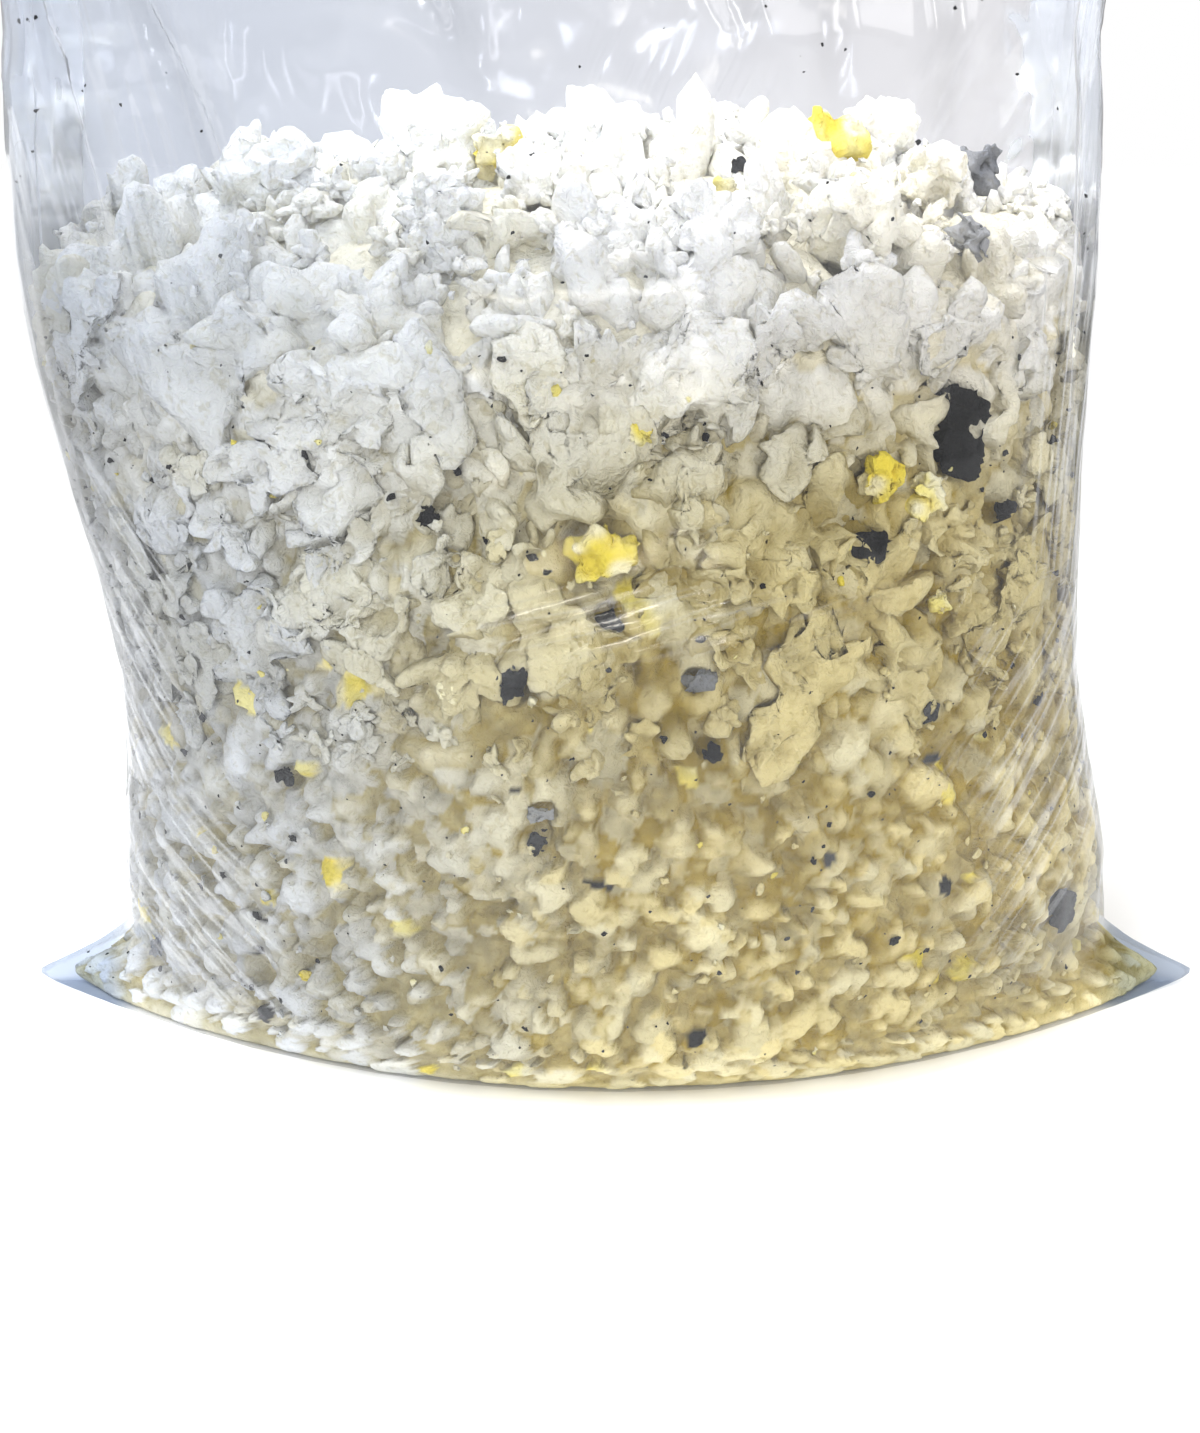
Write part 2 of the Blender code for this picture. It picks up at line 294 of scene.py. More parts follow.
def new_object(name, points, faces, attributes=None):
    """A smooth-shaded mesh object from arrays of points and triangles, with point attributes."""
    mesh = bpy.data.meshes.new(name)
    mesh.vertices.add(len(points))
    mesh.vertices.foreach_set("co", np.asarray(points, np.float32).ravel())
    mesh.loops.add(faces.size)
    mesh.loops.foreach_set("vertex_index", faces.astype(np.int32).ravel())
    mesh.polygons.add(len(faces))
    corners = faces.shape[1]
    mesh.polygons.foreach_set("loop_start", np.arange(0, faces.size, corners, dtype=np.int32))
    mesh.update(calc_edges=True)
    mesh.shade_smooth()
    for label, values in (attributes or {}).items():
        values = np.asarray(values, np.float32)
        if values.ndim == 1:
            mesh.attributes.new(label, "FLOAT", "POINT").data.foreach_set("value", values)
        elif label == "shade":
            rgba_values = np.concatenate([values, np.ones((len(values), 1), np.float32)], axis=1)
            layer = mesh.attributes.new(label, "FLOAT_COLOR", "POINT")
            layer.data.foreach_set("color", rgba_values.ravel())
        else:
            mesh.attributes.new(label, "FLOAT_VECTOR", "POINT").data.foreach_set("vector", values.ravel())
    made = bpy.data.objects.new(name, mesh)
    bpy.context.scene.collection.objects.link(made)
    return made


def ball(steps):
    """Directions and triangles of an even ball: an icosahedron with each edge cut in this many steps."""
    bm = bmesh.new()
    bmesh.ops.create_icosphere(bm, subdivisions=1, radius=1.0)
    corners = [[np.array(v.co) for v in face.verts] for face in bm.faces]
    bm.free()
    points, faces = [], []
    for a, b, c in corners:
        row_start = {}
        for i in range(steps + 1):
            row_start[i] = len(points)
            for j in range(steps + 1 - i):
                points.append(a + (b - a) * (i / steps) + (c - a) * (j / steps))
        for i in range(steps):
            for j in range(steps - i):
                here, above = row_start[i] + j, row_start[i + 1] + j
                faces.append((here, above, here + 1))
                if j < steps - i - 1:
                    faces.append((above, above + 1, here + 1))
    points = np.array(points)
    points /= np.linalg.norm(points, axis=1, keepdims=True)
    _, first, same = np.unique(np.round(points, 5), axis=0, return_index=True, return_inverse=True)
    return points[first], same.ravel()[np.array(faces)]


def node_tree(name):
    """BVH tree of a CAD node."""
    mesh = frame["nodes"][name].data
    points = [v.co.copy() for v in mesh.vertices]
    return BVHTree.FromPolygons(points, [tuple(p.vertices) for p in mesh.polygons])


class BagShape:
    """The film's outer surface and the heap's height, read from the frame by casting rays."""

    ANGLES = 720
    HEIGHTS = 260
    EDGE = 0.0005
    FAR = 2.0
    ACROSS = 100
    DEEP = 60
    LOWEST_HEAP = 0.3

    def __init__(self):
        tree = node_tree("bag_film")
        low, high = FILM_BOX
        self.top = high.z
        self.heights = np.linspace(self.EDGE, self.top - self.EDGE, self.HEIGHTS)
        self.angles = np.linspace(0, 2 * math.pi, self.ANGLES, endpoint=False)
        self.centres = np.zeros(self.HEIGHTS)
        self.radii = np.zeros((self.HEIGHTS, self.ANGLES))
        for row, height in enumerate(self.heights):
            right = tree.ray_cast(Vector((self.FAR, 0, height)), Vector((-1, 0, 0)))[0]
            left = tree.ray_cast(Vector((-self.FAR, 0, height)), Vector((1, 0, 0)))[0]
            self.centres[row] = (right.x + left.x) / 2
            centre = Vector((self.centres[row], 0, height))
            for column, angle in enumerate(self.angles):
                out = Vector((math.cos(angle), math.sin(angle), 0))
                hit = tree.ray_cast(centre + out * self.FAR, -out)[0]
                self.radii[row, column] = (hit - centre).length
        self.fill_foot()
        self.heap_tree = node_tree("packed_shreds")
        self.heap_x = np.linspace(low.x, high.x, self.ACROSS)
        self.heap_y = np.linspace(low.y, high.y, self.DEEP)
        self.heap = np.array([[self.cast_heap(x, y) for y in self.heap_y] for x in self.heap_x])
        self.heap = fill_missing(self.heap)

    def fill_foot(self):
        """Lets the fill press the film straight down to the floor, without the undercut."""
        rows = np.searchsorted(self.heights, FOOT_TOP)
        share = (self.heights[:rows] / FOOT_TOP)[:, None] ** 0.7
        straight = self.radii[0] * (1 - share) + self.radii[rows] * share
        self.radii[:rows] = np.maximum(self.radii[:rows], straight)

    def cast_heap(self, x, y):
        hit = self.heap_tree.ray_cast(Vector((x, y, self.FAR)), Vector((0, 0, -1)))[0]
        return hit.z if hit and hit.z > self.LOWEST_HEAP else math.nan

    def centre(self, z):
        return np.interp(z, self.heights, self.centres)

    def radius(self, x, y, z):
        """Distance from the bag's axis to the film's outer surface, through each point."""
        centre = self.centre(z)
        angle = np.arctan2(y, x - centre) % (2 * math.pi)
        row = np.clip(np.interp(z, self.heights, np.arange(self.HEIGHTS)), 0, self.HEIGHTS - 1.001)
        column = angle / (2 * math.pi) * self.ANGLES
        row0, column0 = row.astype(int), column.astype(int)
        row_share, column_share = row - row0, column - column0
        column0, column1 = column0 % self.ANGLES, (column0 + 1) % self.ANGLES
        low = self.radii[row0, column0] * (1 - column_share) + self.radii[row0, column1] * column_share
        high = self.radii[row0 + 1, column0] * (1 - column_share)
        high += self.radii[row0 + 1, column1] * column_share
        return low * (1 - row_share) + high * row_share

    def heap_height(self, x, y):
        """Height of the bulk's surface under each point."""
        column = np.clip(np.interp(x, self.heap_x, np.arange(self.ACROSS)), 0, self.ACROSS - 1.001)
        row = np.clip(np.interp(y, self.heap_y, np.arange(self.DEEP)), 0, self.DEEP - 1.001)
        i, j = column.astype(int), row.astype(int)
        a, b = column - i, row - j
        low = self.heap[i, j] * (1 - b) + self.heap[i, j + 1] * b
        high = self.heap[i + 1, j] * (1 - b) + self.heap[i + 1, j + 1] * b
        return low * (1 - a) + high * a

    def depth(self, points):
        """How deep each point lies under the film or the heap's surface."""
        x, y, z = points[..., 0], points[..., 1], points[..., 2]
        wall = self.radius(x, y, z) - np.hypot(x - self.centre(z), y)
        return np.minimum(wall, self.heap_height(x, y) + HEAP_LIFT - z)

    def keep_inside(self, points, gap, dent=0.0):
        """Presses points that would pass the film against its inside, with dents, and off the floor."""
        x, y, z = points[..., 0], points[..., 1], points[..., 2]
        z = np.maximum(z, gap)
        centre = self.centre(z)
        reach = np.hypot(x - centre, y)
        dents = smooth(-0.15, 0.55, noise(points, 0.015, 71)) + 0.35 * noise(points, 0.0075, 73)
        most = self.radius(x, y, z) - gap - np.maximum(dents, 0) * dent
        share = np.minimum(1, most / np.maximum(reach, 1e-6))
        return np.stack([centre + (x - centre) * share, y * share, z], axis=-1)


def fill_missing(grid):
    """Carries the nearest known heights outwards over the cells that no ray reached."""
    grid = grid.copy()
    while np.isnan(grid).any():
        known = ~np.isnan(grid)
        total = np.zeros_like(grid)
        count = np.zeros_like(grid)
        for axis, step in ((0, 1), (0, -1), (1, 1), (1, -1)):
            moved = np.roll(np.where(known, grid, 0), step, axis)
            total += moved
            count += np.roll(known.astype(float), step, axis)
        fresh = ~known & (count > 0)
        grid[fresh] = total[fresh] / count[fresh]
    return grid


# Materials


class Nodes:
    """Short calls that add and join shader nodes in one tree."""

    def __init__(self, tree):
        self.tree = tree

    def add(self, kind, inputs=None, **values):
        node = self.tree.nodes.new(kind)
        for name, value in values.items():
            setattr(node, name, value)
        for socket, value in (inputs or {}).items():
            target = node.inputs[socket]
            if isinstance(value, bpy.types.NodeSocket):
                self.tree.links.new(value, target)
            else:
                target.default_value = value
        return node

    def math(self, operation, first, second=0.0, clamp=False):
        node = self.add("ShaderNodeMath", {0: first, 1: second}, operation=operation)
        node.use_clamp = clamp
        return node.outputs[0]

    def span(self, value, low, high, to_low=0.0, to_high=1.0):
        """Maps a stretch of values to another, and holds them at its ends."""
        inputs = {0: value, 1: low, 2: high, 3: to_low, 4: to_high}
        return self.add("ShaderNodeMapRange", inputs, interpolation_type="SMOOTHSTEP").outputs[0]

    def mix(self, share, first, second):
        node = self.add("ShaderNodeMix", data_type="RGBA")
        for socket, value in ((node.inputs[0], share), (node.inputs[6], first), (node.inputs[7], second)):
            if isinstance(value, bpy.types.NodeSocket):
                self.tree.links.new(value, socket)
            else:
                socket.default_value = value
        return node.outputs[2]

    def attribute(self, name):
        return self.add("ShaderNodeAttribute", attribute_name=name).outputs["Fac"]

    def noise(self, vector, scale, detail=2.0, roughness=0.5, distortion=0.0):
        inputs = {"Vector": vector, "Scale": scale, "Detail": detail, "Roughness": roughness}
        inputs["Distortion"] = distortion
        return self.add("ShaderNodeTexNoise", inputs).outputs[0]


WHITE = (1.0, 1.0, 1.0, 1.0)


def rgba(colour):
    return (*colour, 1.0)


def new_group(name, inputs, outputs):
    """An empty shader node group with named sockets. Returns it with its nodes and its ends."""
    group = bpy.data.node_groups.new(name, "ShaderNodeTree")
    for label, kind, value in inputs:
        socket = group.interface.new_socket(name=label, in_out="INPUT", socket_type=kind)
        socket.default_value = value
    for label, kind in outputs:
        group.interface.new_socket(name=label, in_out="OUTPUT", socket_type=kind)
    nodes = Nodes(group)
    return group, nodes, nodes.add("NodeGroupInput"), nodes.add("NodeGroupOutput")


def foam_group():
    """Open-cell foam: the mesh's own shade, with painted shade in the pits of a torn relief."""
    name = "Torn foam"
    if name in bpy.data.node_groups:
        return bpy.data.node_groups[name]
    colour, number = "NodeSocketColor", "NodeSocketFloat"
    inputs = (("Shade", colour, WHITE), ("Crumbs per metre", number, 0.0), ("Pit shade", colour, WHITE))
    group, nodes, start, end = new_group(name, inputs, (("Colour", colour), ("Height", number)))
    place = nodes.add("ShaderNodeNewGeometry").outputs["Position"]
    crumbs = nodes.noise(place, start.outputs["Crumbs per metre"], 3.0, 0.62, 0.4)
    # Painted shade: the pits of the crumb relief are darkened to the pit colour
    lit = nodes.mix(nodes.span(crumbs, 0.33, 0.46), start.outputs["Pit shade"], WHITE)
    torn = nodes.add("ShaderNodeVectorMath", {0: start.outputs["Shade"], 1: lit}, operation="MULTIPLY")
    nodes.tree.links.new(torn.outputs[0], end.inputs["Colour"])
    nodes.tree.links.new(crumbs, end.inputs["Height"])
    return group


def foam_material(name):
    """Dull open foam of one colour, with light going a little way into the pale ones."""
    material = bpy.data.materials.new(name)
    material.use_nodes = True
    nodes = Nodes(material.node_tree)
    shader = material.node_tree.nodes["Principled BSDF"]
    shade = nodes.add("ShaderNodeAttribute", attribute_name="shade").outputs["Color"]
    looks = {"Shade": shade, "Crumbs per metre": 170.0, "Pit shade": (0.86, 0.84, 0.77, 1.0)}
    group = nodes.add("ShaderNodeGroup", looks, node_tree=foam_group())
    relief = {"Height": group.outputs["Height"], "Distance": 0.0050, "Strength": 0.85}
    bump = nodes.add("ShaderNodeBump", relief)
    nodes.tree.links.new(group.outputs["Colour"], shader.inputs["Base Color"])
    nodes.tree.links.new(bump.outputs[0], shader.inputs["Normal"])
    shader.inputs["Roughness"].default_value = 1.0
    shader.inputs["Specular IOR Level"].default_value = 0.1
    if name.split()[0] in ("white", "cream"):
        shader.inputs["Subsurface Weight"].default_value = 0.10
        shader.inputs["Subsurface Scale"].default_value = 0.008
        shader.inputs["Subsurface Radius"].default_value = (1.0, 0.88, 0.55)
    return material


def foam_materials():
    """One material for each colour of foam, made once."""
    for colour in FOAM_COLOURS:
        if f"{colour} foam" not in bpy.data.materials:
            foam_material(f"{colour} foam")
    return {colour: bpy.data.materials[f"{colour} foam"] for colour in FOAM_COLOURS}


FOAM_COLOURS = ("white", "cream", "yellow", "grey", "charcoal", "packed")


def blend(first, second, share):
    share = np.asarray(share)[..., None]
    return np.asarray(first) * (1 - share) + np.asarray(second) * share


def foam_shades(colour, points, warmth, tone, depth):
    """Linear colour at each point: mottled, and turning darker and olive down in the gaps as painted shade,
    with painted light on the top and painted shade low down.
    """
    c = settings().colours
    mottle = noise(points, 0.034, 201) * 0.5 + noise(points, 0.011, 203) * 0.25
    across, up = points[..., 0], points[..., 2]
    # This mask makes the top lighter as painted light, and takes the painted shade of the gaps away there
    lit_top = smooth(*LIT_TOP_START, up)
    low = 1 - smooth(*LOW_SHADE_END, up)
    tone = np.asarray(tone)[..., None]
    if colour in ("white", "cream", "packed"):
        share = np.clip(warmth + mottle * 0.35 + (0.35 if colour == "cream" else 0), 0, 1)
        shade = blend(c.white, c.cream, share)
        # Painted shade: at middle height, from the middle to the right, the fill is a little darker
        middle = smooth(*MIDDLE_START, up) * (1 - smooth(*MIDDLE_END, up))
        tone = tone * (1 - 0.11 * middle * smooth(-0.16, 0.0, across))[..., None]
        # Painted shade: points deep in the gaps turn olive and darker, less so at the top
        deep = np.clip(depth * (0.26 + 0.80 * warmth) * (1 - 0.84 * lit_top), 0, 1)
        shade = blend(shade, c.gap_shade, deep) * (1 + 0.04 * lit_top - 0.22 * depth * (1 - lit_top))[..., None]
        # Painted shade: the fill low down is darkened, cool on the left and warm on the right, as if lit
        # from above
        pressed = blend(c.low_shade_left, c.low_shade_right, smooth(-0.20, 0.02, across))
        tone = tone * (1 - low[..., None] * (1 - pressed))
    elif colour == "yellow":
        shade = blend(c.lemon, c.yellow, smooth(-0.20, 0.40, mottle + 0.25 * depth))
        shade = blend(shade, c.white, 0.6 * smooth(-0.05, 0.50, noise(points, 0.013, 207)))
        shade = blend(shade, c.gap_shade, depth * 0.35)
    elif colour == "grey":
        shade = blend(c.grey, c.white, np.clip(0.10 + mottle * 0.6, 0, 0.35))
    else:
        shade = blend(c.charcoal, c.grey, np.clip(mottle * 1.2 - 0.12, 0, 0.35))
    return shade * tone


# Shreds


def torn_shreds(centres, sizes, outward, rng, steps, tear):
    """Points and triangles of many torn shreds at once.

    Each is a block with a few flat sides cut at random, torn by noise, with more of its points on
    the side that faces out.
    """
    ways, triangles = ball(steps)
    count = len(centres)
    ways = ways[None] + 0.6 * outward[:, None]
    ways /= np.linalg.norm(ways, axis=-1, keepdims=True)
    sides = rng.normal(size=(count, 8, 3))
    sides /= np.linalg.norm(sides, axis=-1, keepdims=True)
    reach = rng.uniform(0.50, 1.0, size=(count, 8))
    facing = np.einsum("kvi,kpi->kvp", ways, sides)
    cut = reach[:, None] / np.maximum(facing, 0.05)
    cut = np.concatenate([cut, np.full((*cut.shape[:2], 1), 1.12)], axis=-1)
    radius = (cut**-10).sum(-1) ** (-1 / 10)
    place = ways * radius[..., None]
    turn = np.array([Euler(angles).to_matrix() for angles in rng.uniform(-0.7, 0.7, (count, 3))])
    place = np.einsum("kvi,kji->kvj", place * sizes[:, None] / 2, turn)
    shift = rng.uniform(-5, 5, size=(count, 1, 3))
    size = sizes.mean(axis=1)[:, None]
    way = place / np.maximum(np.linalg.norm(place, axis=-1, keepdims=True), 1e-9)
    bite = ridges(place / size[..., None] + shift, 0.33, 11) ** 2 * -0.30
    bite += noise(place / size[..., None] + shift, 0.17, 23) * 0.13
    lump = ridges(place + shift, 0.021, 35) ** 2
    crumb = ridges(place + shift, 0.0098, 37) ** 2
    fine = lump * -0.0060 + crumb * -0.0048 + noise(place + shift, 0.0050, 41) * 0.0024
    fine = fine * np.minimum(1, size / 0.035)
    place = place + way * (bite * tear * size + 0.13 * tear * size + fine)[..., None]
    place += noise_vector(place + shift, 0.013, 51) * 0.0034 * np.minimum(1, size / 0.035)[..., None]
    points = place + centres[:, None]
    faces = triangles[None] + (np.arange(count) * len(ways[0]))[:, None, None]
    # Painted shade: this mask marks the pits of the tear, which turn to the colour of the gaps
    valley = smooth(0.45, 0.95, lump * 0.6 + crumb * 0.5)
    return points, faces.reshape(-1, 3), valley


def link_shreds(name, colour, shape, batches, rng, dent=0.0):
    """Joins batches of shreds of one colour into one piece."""
    all_points, all_faces, all_shades = [], [], []
    start = 0
    for points, faces, valley, warmth in batches:
        points = shape.keep_inside(points, settings().foam.film_gap, dent)
        count, each = points.shape[:2]
        # Painted shade: points deep under the film, and in the valleys of the tear, turn to the colour of
        # the gaps
        depth = np.maximum(smooth(*GAP_SHADE_DEPTH, shape.depth(points)), valley * 0.22)
        tone = rng.uniform(0.87, 1.03, count)[:, None] * np.ones((1, each))
        shades = foam_shades(colour, points, warmth[:, None] * np.ones((1, each)), tone, depth)
        all_points.append(points.reshape(-1, 3))
        all_faces.append(faces + start)
        all_shades.append(shades.reshape(-1, 3))
        start += count * each
    shades = np.concatenate(all_shades)
    made = new_object(name, np.concatenate(all_points), np.concatenate(all_faces), {"shade": shades})
    made.data.materials.append(foam_materials()[colour])
    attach(made, "root")
    return made


class Layout:
    """Places shreds with room between their middles, round those that are already there."""

    def __init__(self):
        self.centres = np.zeros((0, 3))
        self.reaches = np.zeros(0)

    def block(self, centre, reach):
        self.centres = np.vstack([self.centres, centre])
        self.reaches = np.append(self.reaches, reach)

    def throw(self, candidates, sizes, crowding):
        """Keeps each candidate whose middle is far enough from those before it."""
        kept = []
        for number, (centre, size) in enumerate(zip(candidates, sizes)):
            reach = size.max() / 2
            gaps = np.linalg.norm(self.centres - centre, axis=1)
            if (gaps > (self.reaches + reach) * crowding).all():
                kept.append(number)
                self.block(centre, reach)
        return np.array(kept, int)


_shape = {}


def bag_shape():
    if "bag" not in _shape:
        _shape["bag"] = BagShape()
    return _shape["bag"]


def lower_warmth(points):
    """How cream the fill is: most at the front's lower middle and right, least at the top left. It is
    partly the foam's own cream and partly painted shade, creamier low down and whiter at the lit top.
    """
    x, z = points[..., 0], points[..., 2]
    across = smooth(-0.20, 0.04, x)
    up = 1 - smooth(*CREAM_END, z)
    return np.clip(0.03 + 0.76 * across * up + 0.10 * up + 0.09 * smooth(-0.05, 0.15, x), 0, 1)


def wall_candidates(shape, rng, count, heights, size_range, flatness, back):
    """Places just behind the film, with their outward directions and sizes."""
    z = rng.uniform(*heights, count)
    turn = rng.uniform(0, math.pi, count)
    angle = turn if back else turn + math.pi
    width = shape.radius(shape.centre(z) + 1, np.zeros(count), z)
    depth = shape.radius(shape.centre(z), np.full(count, -1.0), z)
    x = width * np.cos(angle)
    y = depth * np.sin(angle)
    reach = np.hypot(x, y)
    way = np.stack([x / reach, y / reach, np.zeros(count)], axis=-1)
    size = rng.uniform(*size_range, count)
    sizes = size[:, None] * rng.uniform(0.72, 1.25, (count, 3))
    film = shape.radius(shape.centre(z) + x, y, z)
    loose = smooth(0.20, 0.40, z) * rng.uniform(0, 0.012, count)
    inward = film - sizes.min(axis=1) * flatness - loose
    centres = np.stack([shape.centre(z) + way[:, 0] * inward, way[:, 1] * inward, z], axis=-1)
    return centres, way, sizes


def heap_candidates(shape, rng, count, size_range, lift):
    """Places on the heap's surface, with upward directions and sizes."""
    angle = rng.uniform(0, 2 * math.pi, count)
    share = np.sqrt(rng.uniform(0, 1, count)) * 0.93
    rim = np.full(1, RIM)
    width = shape.radius(shape.centre(RIM) + 1, np.zeros(1), rim)[0]
    depth = shape.radius(shape.centre(RIM), np.full(1, -1.0), rim)[0]
    x = shape.centre(RIM) + width * share * np.cos(angle)
    y = depth * share * np.sin(angle)
    size = rng.uniform(*size_range, count)
    sizes = size[:, None] * rng.uniform(0.72, 1.25, (count, 3))
    z = shape.heap_height(x, y) + sizes[:, 2] * lift - 0.012 * smooth(0.08, 0.28, x)
    way = np.tile([0.0, -0.45, 0.9], (count, 1))
    return np.stack([x, y, z], axis=-1), way, sizes


# Operators


class BagOperator(bpy.types.Operator):
    """Common base: each operator builds its pieces in build()."""

    bl_options = {"REGISTER", "UNDO"}

    def execute(self, context):
        self.build()
        return {"FINISHED"}


class FOAMBAG_OT_packed_core(BagOperator):
    """The mass of small shreds pressed flat against the film, and the bed under the heap"""

    bl_idname = "foam_bag.packed_core"
    bl_label = "Packed core"

    FOOT = 0.002
    TOP = 0.465
    BED = 0.012
    EAR_FILL = 0.312
    FRONT_COLUMNS = 441
    BACK_COLUMNS = 143
    ROWS = 157
    BED_RINGS = 15
    FLAKES = 9500

    def build(self):
        shape = bag_shape()
        rng = np.random.default_rng(settings().foam.seed + 5)
        front = np.linspace(math.pi, 2 * math.pi, self.FRONT_COLUMNS)
        back = np.linspace(0, math.pi, self.BACK_COLUMNS)[1:-1]
        turn = np.concatenate([back, front])
        z = self.FOOT + (self.TOP - self.FOOT) * np.linspace(0, 1, self.ROWS) ** 1.18
        rows, columns = len(z), len(turn)
        width = shape.radius(shape.centre(z) + 1, np.zeros(rows), z)
        depth = shape.radius(shape.centre(z), np.full(rows, -1.0), z)
        x = width[:, None] * np.cos(turn)
        y = depth[:, None] * np.sin(turn)
        zz = np.repeat(z[:, None], columns, axis=1)
        centre = shape.centre(zz)
        reach = np.hypot(x, y)
        film = shape.radius(centre + x, y, zz)
        over = np.maximum(film - self.EAR_FILL, 0)
        film = np.minimum(film, self.EAR_FILL) + over * 0.70
        place = np.stack([centre + x * film / reach, y * film / reach, zz], axis=-1)
        inset, warmth, tone, kind = self.press(place, z, rng)
        inset *= 0.25 + 0.75 * smooth(0.002, 0.035, zz)
        inset += self.room_for_dyed(place)
        inward = (film - settings().foam.film_gap - inset) / reach
        points = np.stack([centre + x * inward, y * inward, zz], axis=-1)
        bed = shape.heap_height(points[..., 0], points[..., 1]) - self.BED
        bed += noise(place, 0.026, 313) * 0.007 + noise(place, 0.009, 315) * 0.003
        points[..., 2] = np.minimum(points[..., 2], bed)
        # Painted shade: the wall darkens and turns olive where it is sunk in a gap
        sunk = self.sunk(inset, zz)
        tone = tone * (1 + (0.04 + 0.26 * sunk) * noise(place, 0.0055, 331))
        shades = np.zeros_like(points)
        for number, colour in enumerate(("white", "cream", "yellow", "charcoal")):
            chosen = kind == number
            shades[chosen] = foam_shades(
                colour, place[chosen], warmth[chosen], tone[chosen], sunk[chosen]
            )
        points, shades = self.add_bed(shape, points, shades)
        made = lathe_mesh("packed_core", points, shades.reshape(-1, 3))
        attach(made, "root")
        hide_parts("packed_shreds")

    def room_for_dyed(self, place):
        """How far the wall steps back so that the dyed single shreds show."""
        back = np.zeros(place.shape[:-1])
        for name in SINGLE_SHREDS:
            if is_dyed(name):
                low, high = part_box(name)
                away = np.linalg.norm(place - np.array((low + high) / 2), axis=-1)
                back += 0.012 * (1 - smooth(0.7, 1.25, away / (max(high - low) / 2)))
        return back

    def sunk(self, inset, z):
        """From 0 to 1, how deep in a gap each point of the wall lies; it sets the painted shade of the
        gaps.
        """
        around = sum(np.roll(inset, step, axis=1) for step in (-4, -2, 2, 4))
        above = sum(np.roll(inset, step, axis=0) for step in (-3, 3))
        cavity = inset - (around + above) / 6
        near = 0.0011 + 0.0022 * smooth(0.15, 0.40, z)
        deep = smooth(near, near * 4.6, inset) * 0.85 + smooth(0.0003, 0.0032, cavity) * 0.50
        return np.clip(deep, 0, 1)

    def add_bed(self, shape, points, shades):
        """Closes the wall's top with rings that run inwards just under the heap's surface."""
        rings, ring_shades = [points], [shades]
        # Painted shade: the bed under the heap takes the darker, olive colour of the gaps
        deep = np.full(points.shape[1], 0.7)
        for step in range(1, self.BED_RINGS):
            inner = 1 - step / self.BED_RINGS
            ring = points[-1] * np.array([inner, inner, 1])
            ring[:, 0] += shape.centre(self.TOP) * (1 - inner)
            ring[:, 2] = shape.heap_height(ring[:, 0], ring[:, 1]) - self.BED
            ring[:, 2] += noise(ring, 0.014, 75) * 0.006
            rings.append(ring[None])
            ring_shades.append(foam_shades("cream", ring, deep * 0.4, deep + 0.3, deep)[None])
        return np.concatenate(rings), np.concatenate(ring_shades)

    def press(self, place, z, rng):
        """Inset, warmth, tone and kind of the fill at each point of the wall.

        Flat-sided flakes are laid on the unrolled wall, each a shallow dome with a ragged rim, and
        the one nearest the film shows.
        """
        middle = place[len(z) // 2]
        pieces = np.linalg.norm(np.roll(middle, -1, axis=0) - middle, axis=1)
        along = np.concatenate([[0], np.cumsum(pieces)[:-1]])
        girth = pieces.sum()
        ragged = noise(place, 0.0062, 301) * 0.0022 + noise(place, 0.0030, 303) * 0.0011
        loose = smooth(0.12, 0.40, place[..., 2])
        rough = (noise(place, 0.013, 305) * 0.0009 + noise(place, 0.0055, 307) * 0.0009) * (1 + loose)
        inset = 0.011 + 0.017 * loose + noise(place, 0.02, 309) * 0.003 + rough * 2
        shape = inset.shape
        warmth, tone, kind = np.full(shape, 0.5), np.full(shape, 0.98), np.ones(shape, int)
        count = self.FLAKES
        up = rng.uniform(0, 1, count) ** 0.8
        height = up * self.TOP
        position = rng.uniform(0, girth, count)
        big = smooth(0.10, 0.42, height)
        size = (0.0055 + 0.011 * rng.uniform(size=count) ** 2.4) * (1 + 1.7 * big)
        flat = rng.uniform(0.6, 1.0, count)
        angle = rng.normal(0, 0.7, count)
        level = np.where(rng.uniform(size=count) < 0.55, 0.5, 0.0) + 0.5 * rng.uniform(size=count)
        base = 0.0002 + 0.009 * big + level * (0.0062 + 0.013 * big)
        draw = rng.uniform(size=count)
        tones = rng.uniform(0.88, 1.07, count)
        turns = rng.uniform(0, 2 * math.pi, (count, 6))
        reaches = rng.uniform(0.62, 1.0, (count, 6))
        tilts = rng.normal(0, 0.13, (count, 2))
        for i in range(count):
            r0, r1 = np.searchsorted(z, (height[i] - size[i] * 1.4, height[i] + size[i] * 1.4))
            c0, c1 = np.searchsorted(along, (position[i] - size[i] * 1.4, position[i] + size[i] * 1.4))
            if r0 == r1 or c0 == c1:
                continue
            span = (slice(r0, r1), slice(c0, c1))
            across = (along[c0:c1] - position[i])[None]
            rise = (z[r0:r1] - height[i])[:, None]
            u = (across * math.cos(angle[i]) + rise * math.sin(angle[i])) / size[i]
            v = (rise * math.cos(angle[i]) - across * math.sin(angle[i])) / (size[i] * flat[i])
            sides = [
                np.maximum(u * math.cos(t) + v * math.sin(t), 0) / reach
                for t, reach in zip(turns[i], reaches[i])
            ]
            sides.append(np.hypot(u, v) / 1.15)
            r = (np.array(sides) ** 6).sum(axis=0) ** (1 / 6) + ragged[span] / size[i]
            dome = 1 - np.sqrt(np.clip(1 - np.clip(r, 0, 1) ** 3, 0, 1))
            cover = base[i] + size[i] * (0.50 * dome + tilts[i, 0] * u + tilts[i, 1] * v)
            cover = np.maximum(cover, base[i] * 0.3) + rough[span]
            nearer = (r < 1) & (cover < inset[span])
            if not nearer.any():
                continue
            inset[span][nearer] = np.maximum(cover[nearer], 0)
            where = place[r0, c0]
            cream = lower_warmth(where) * (0.35 if 0.30 < draw[i] < 0.60 else 1.0)
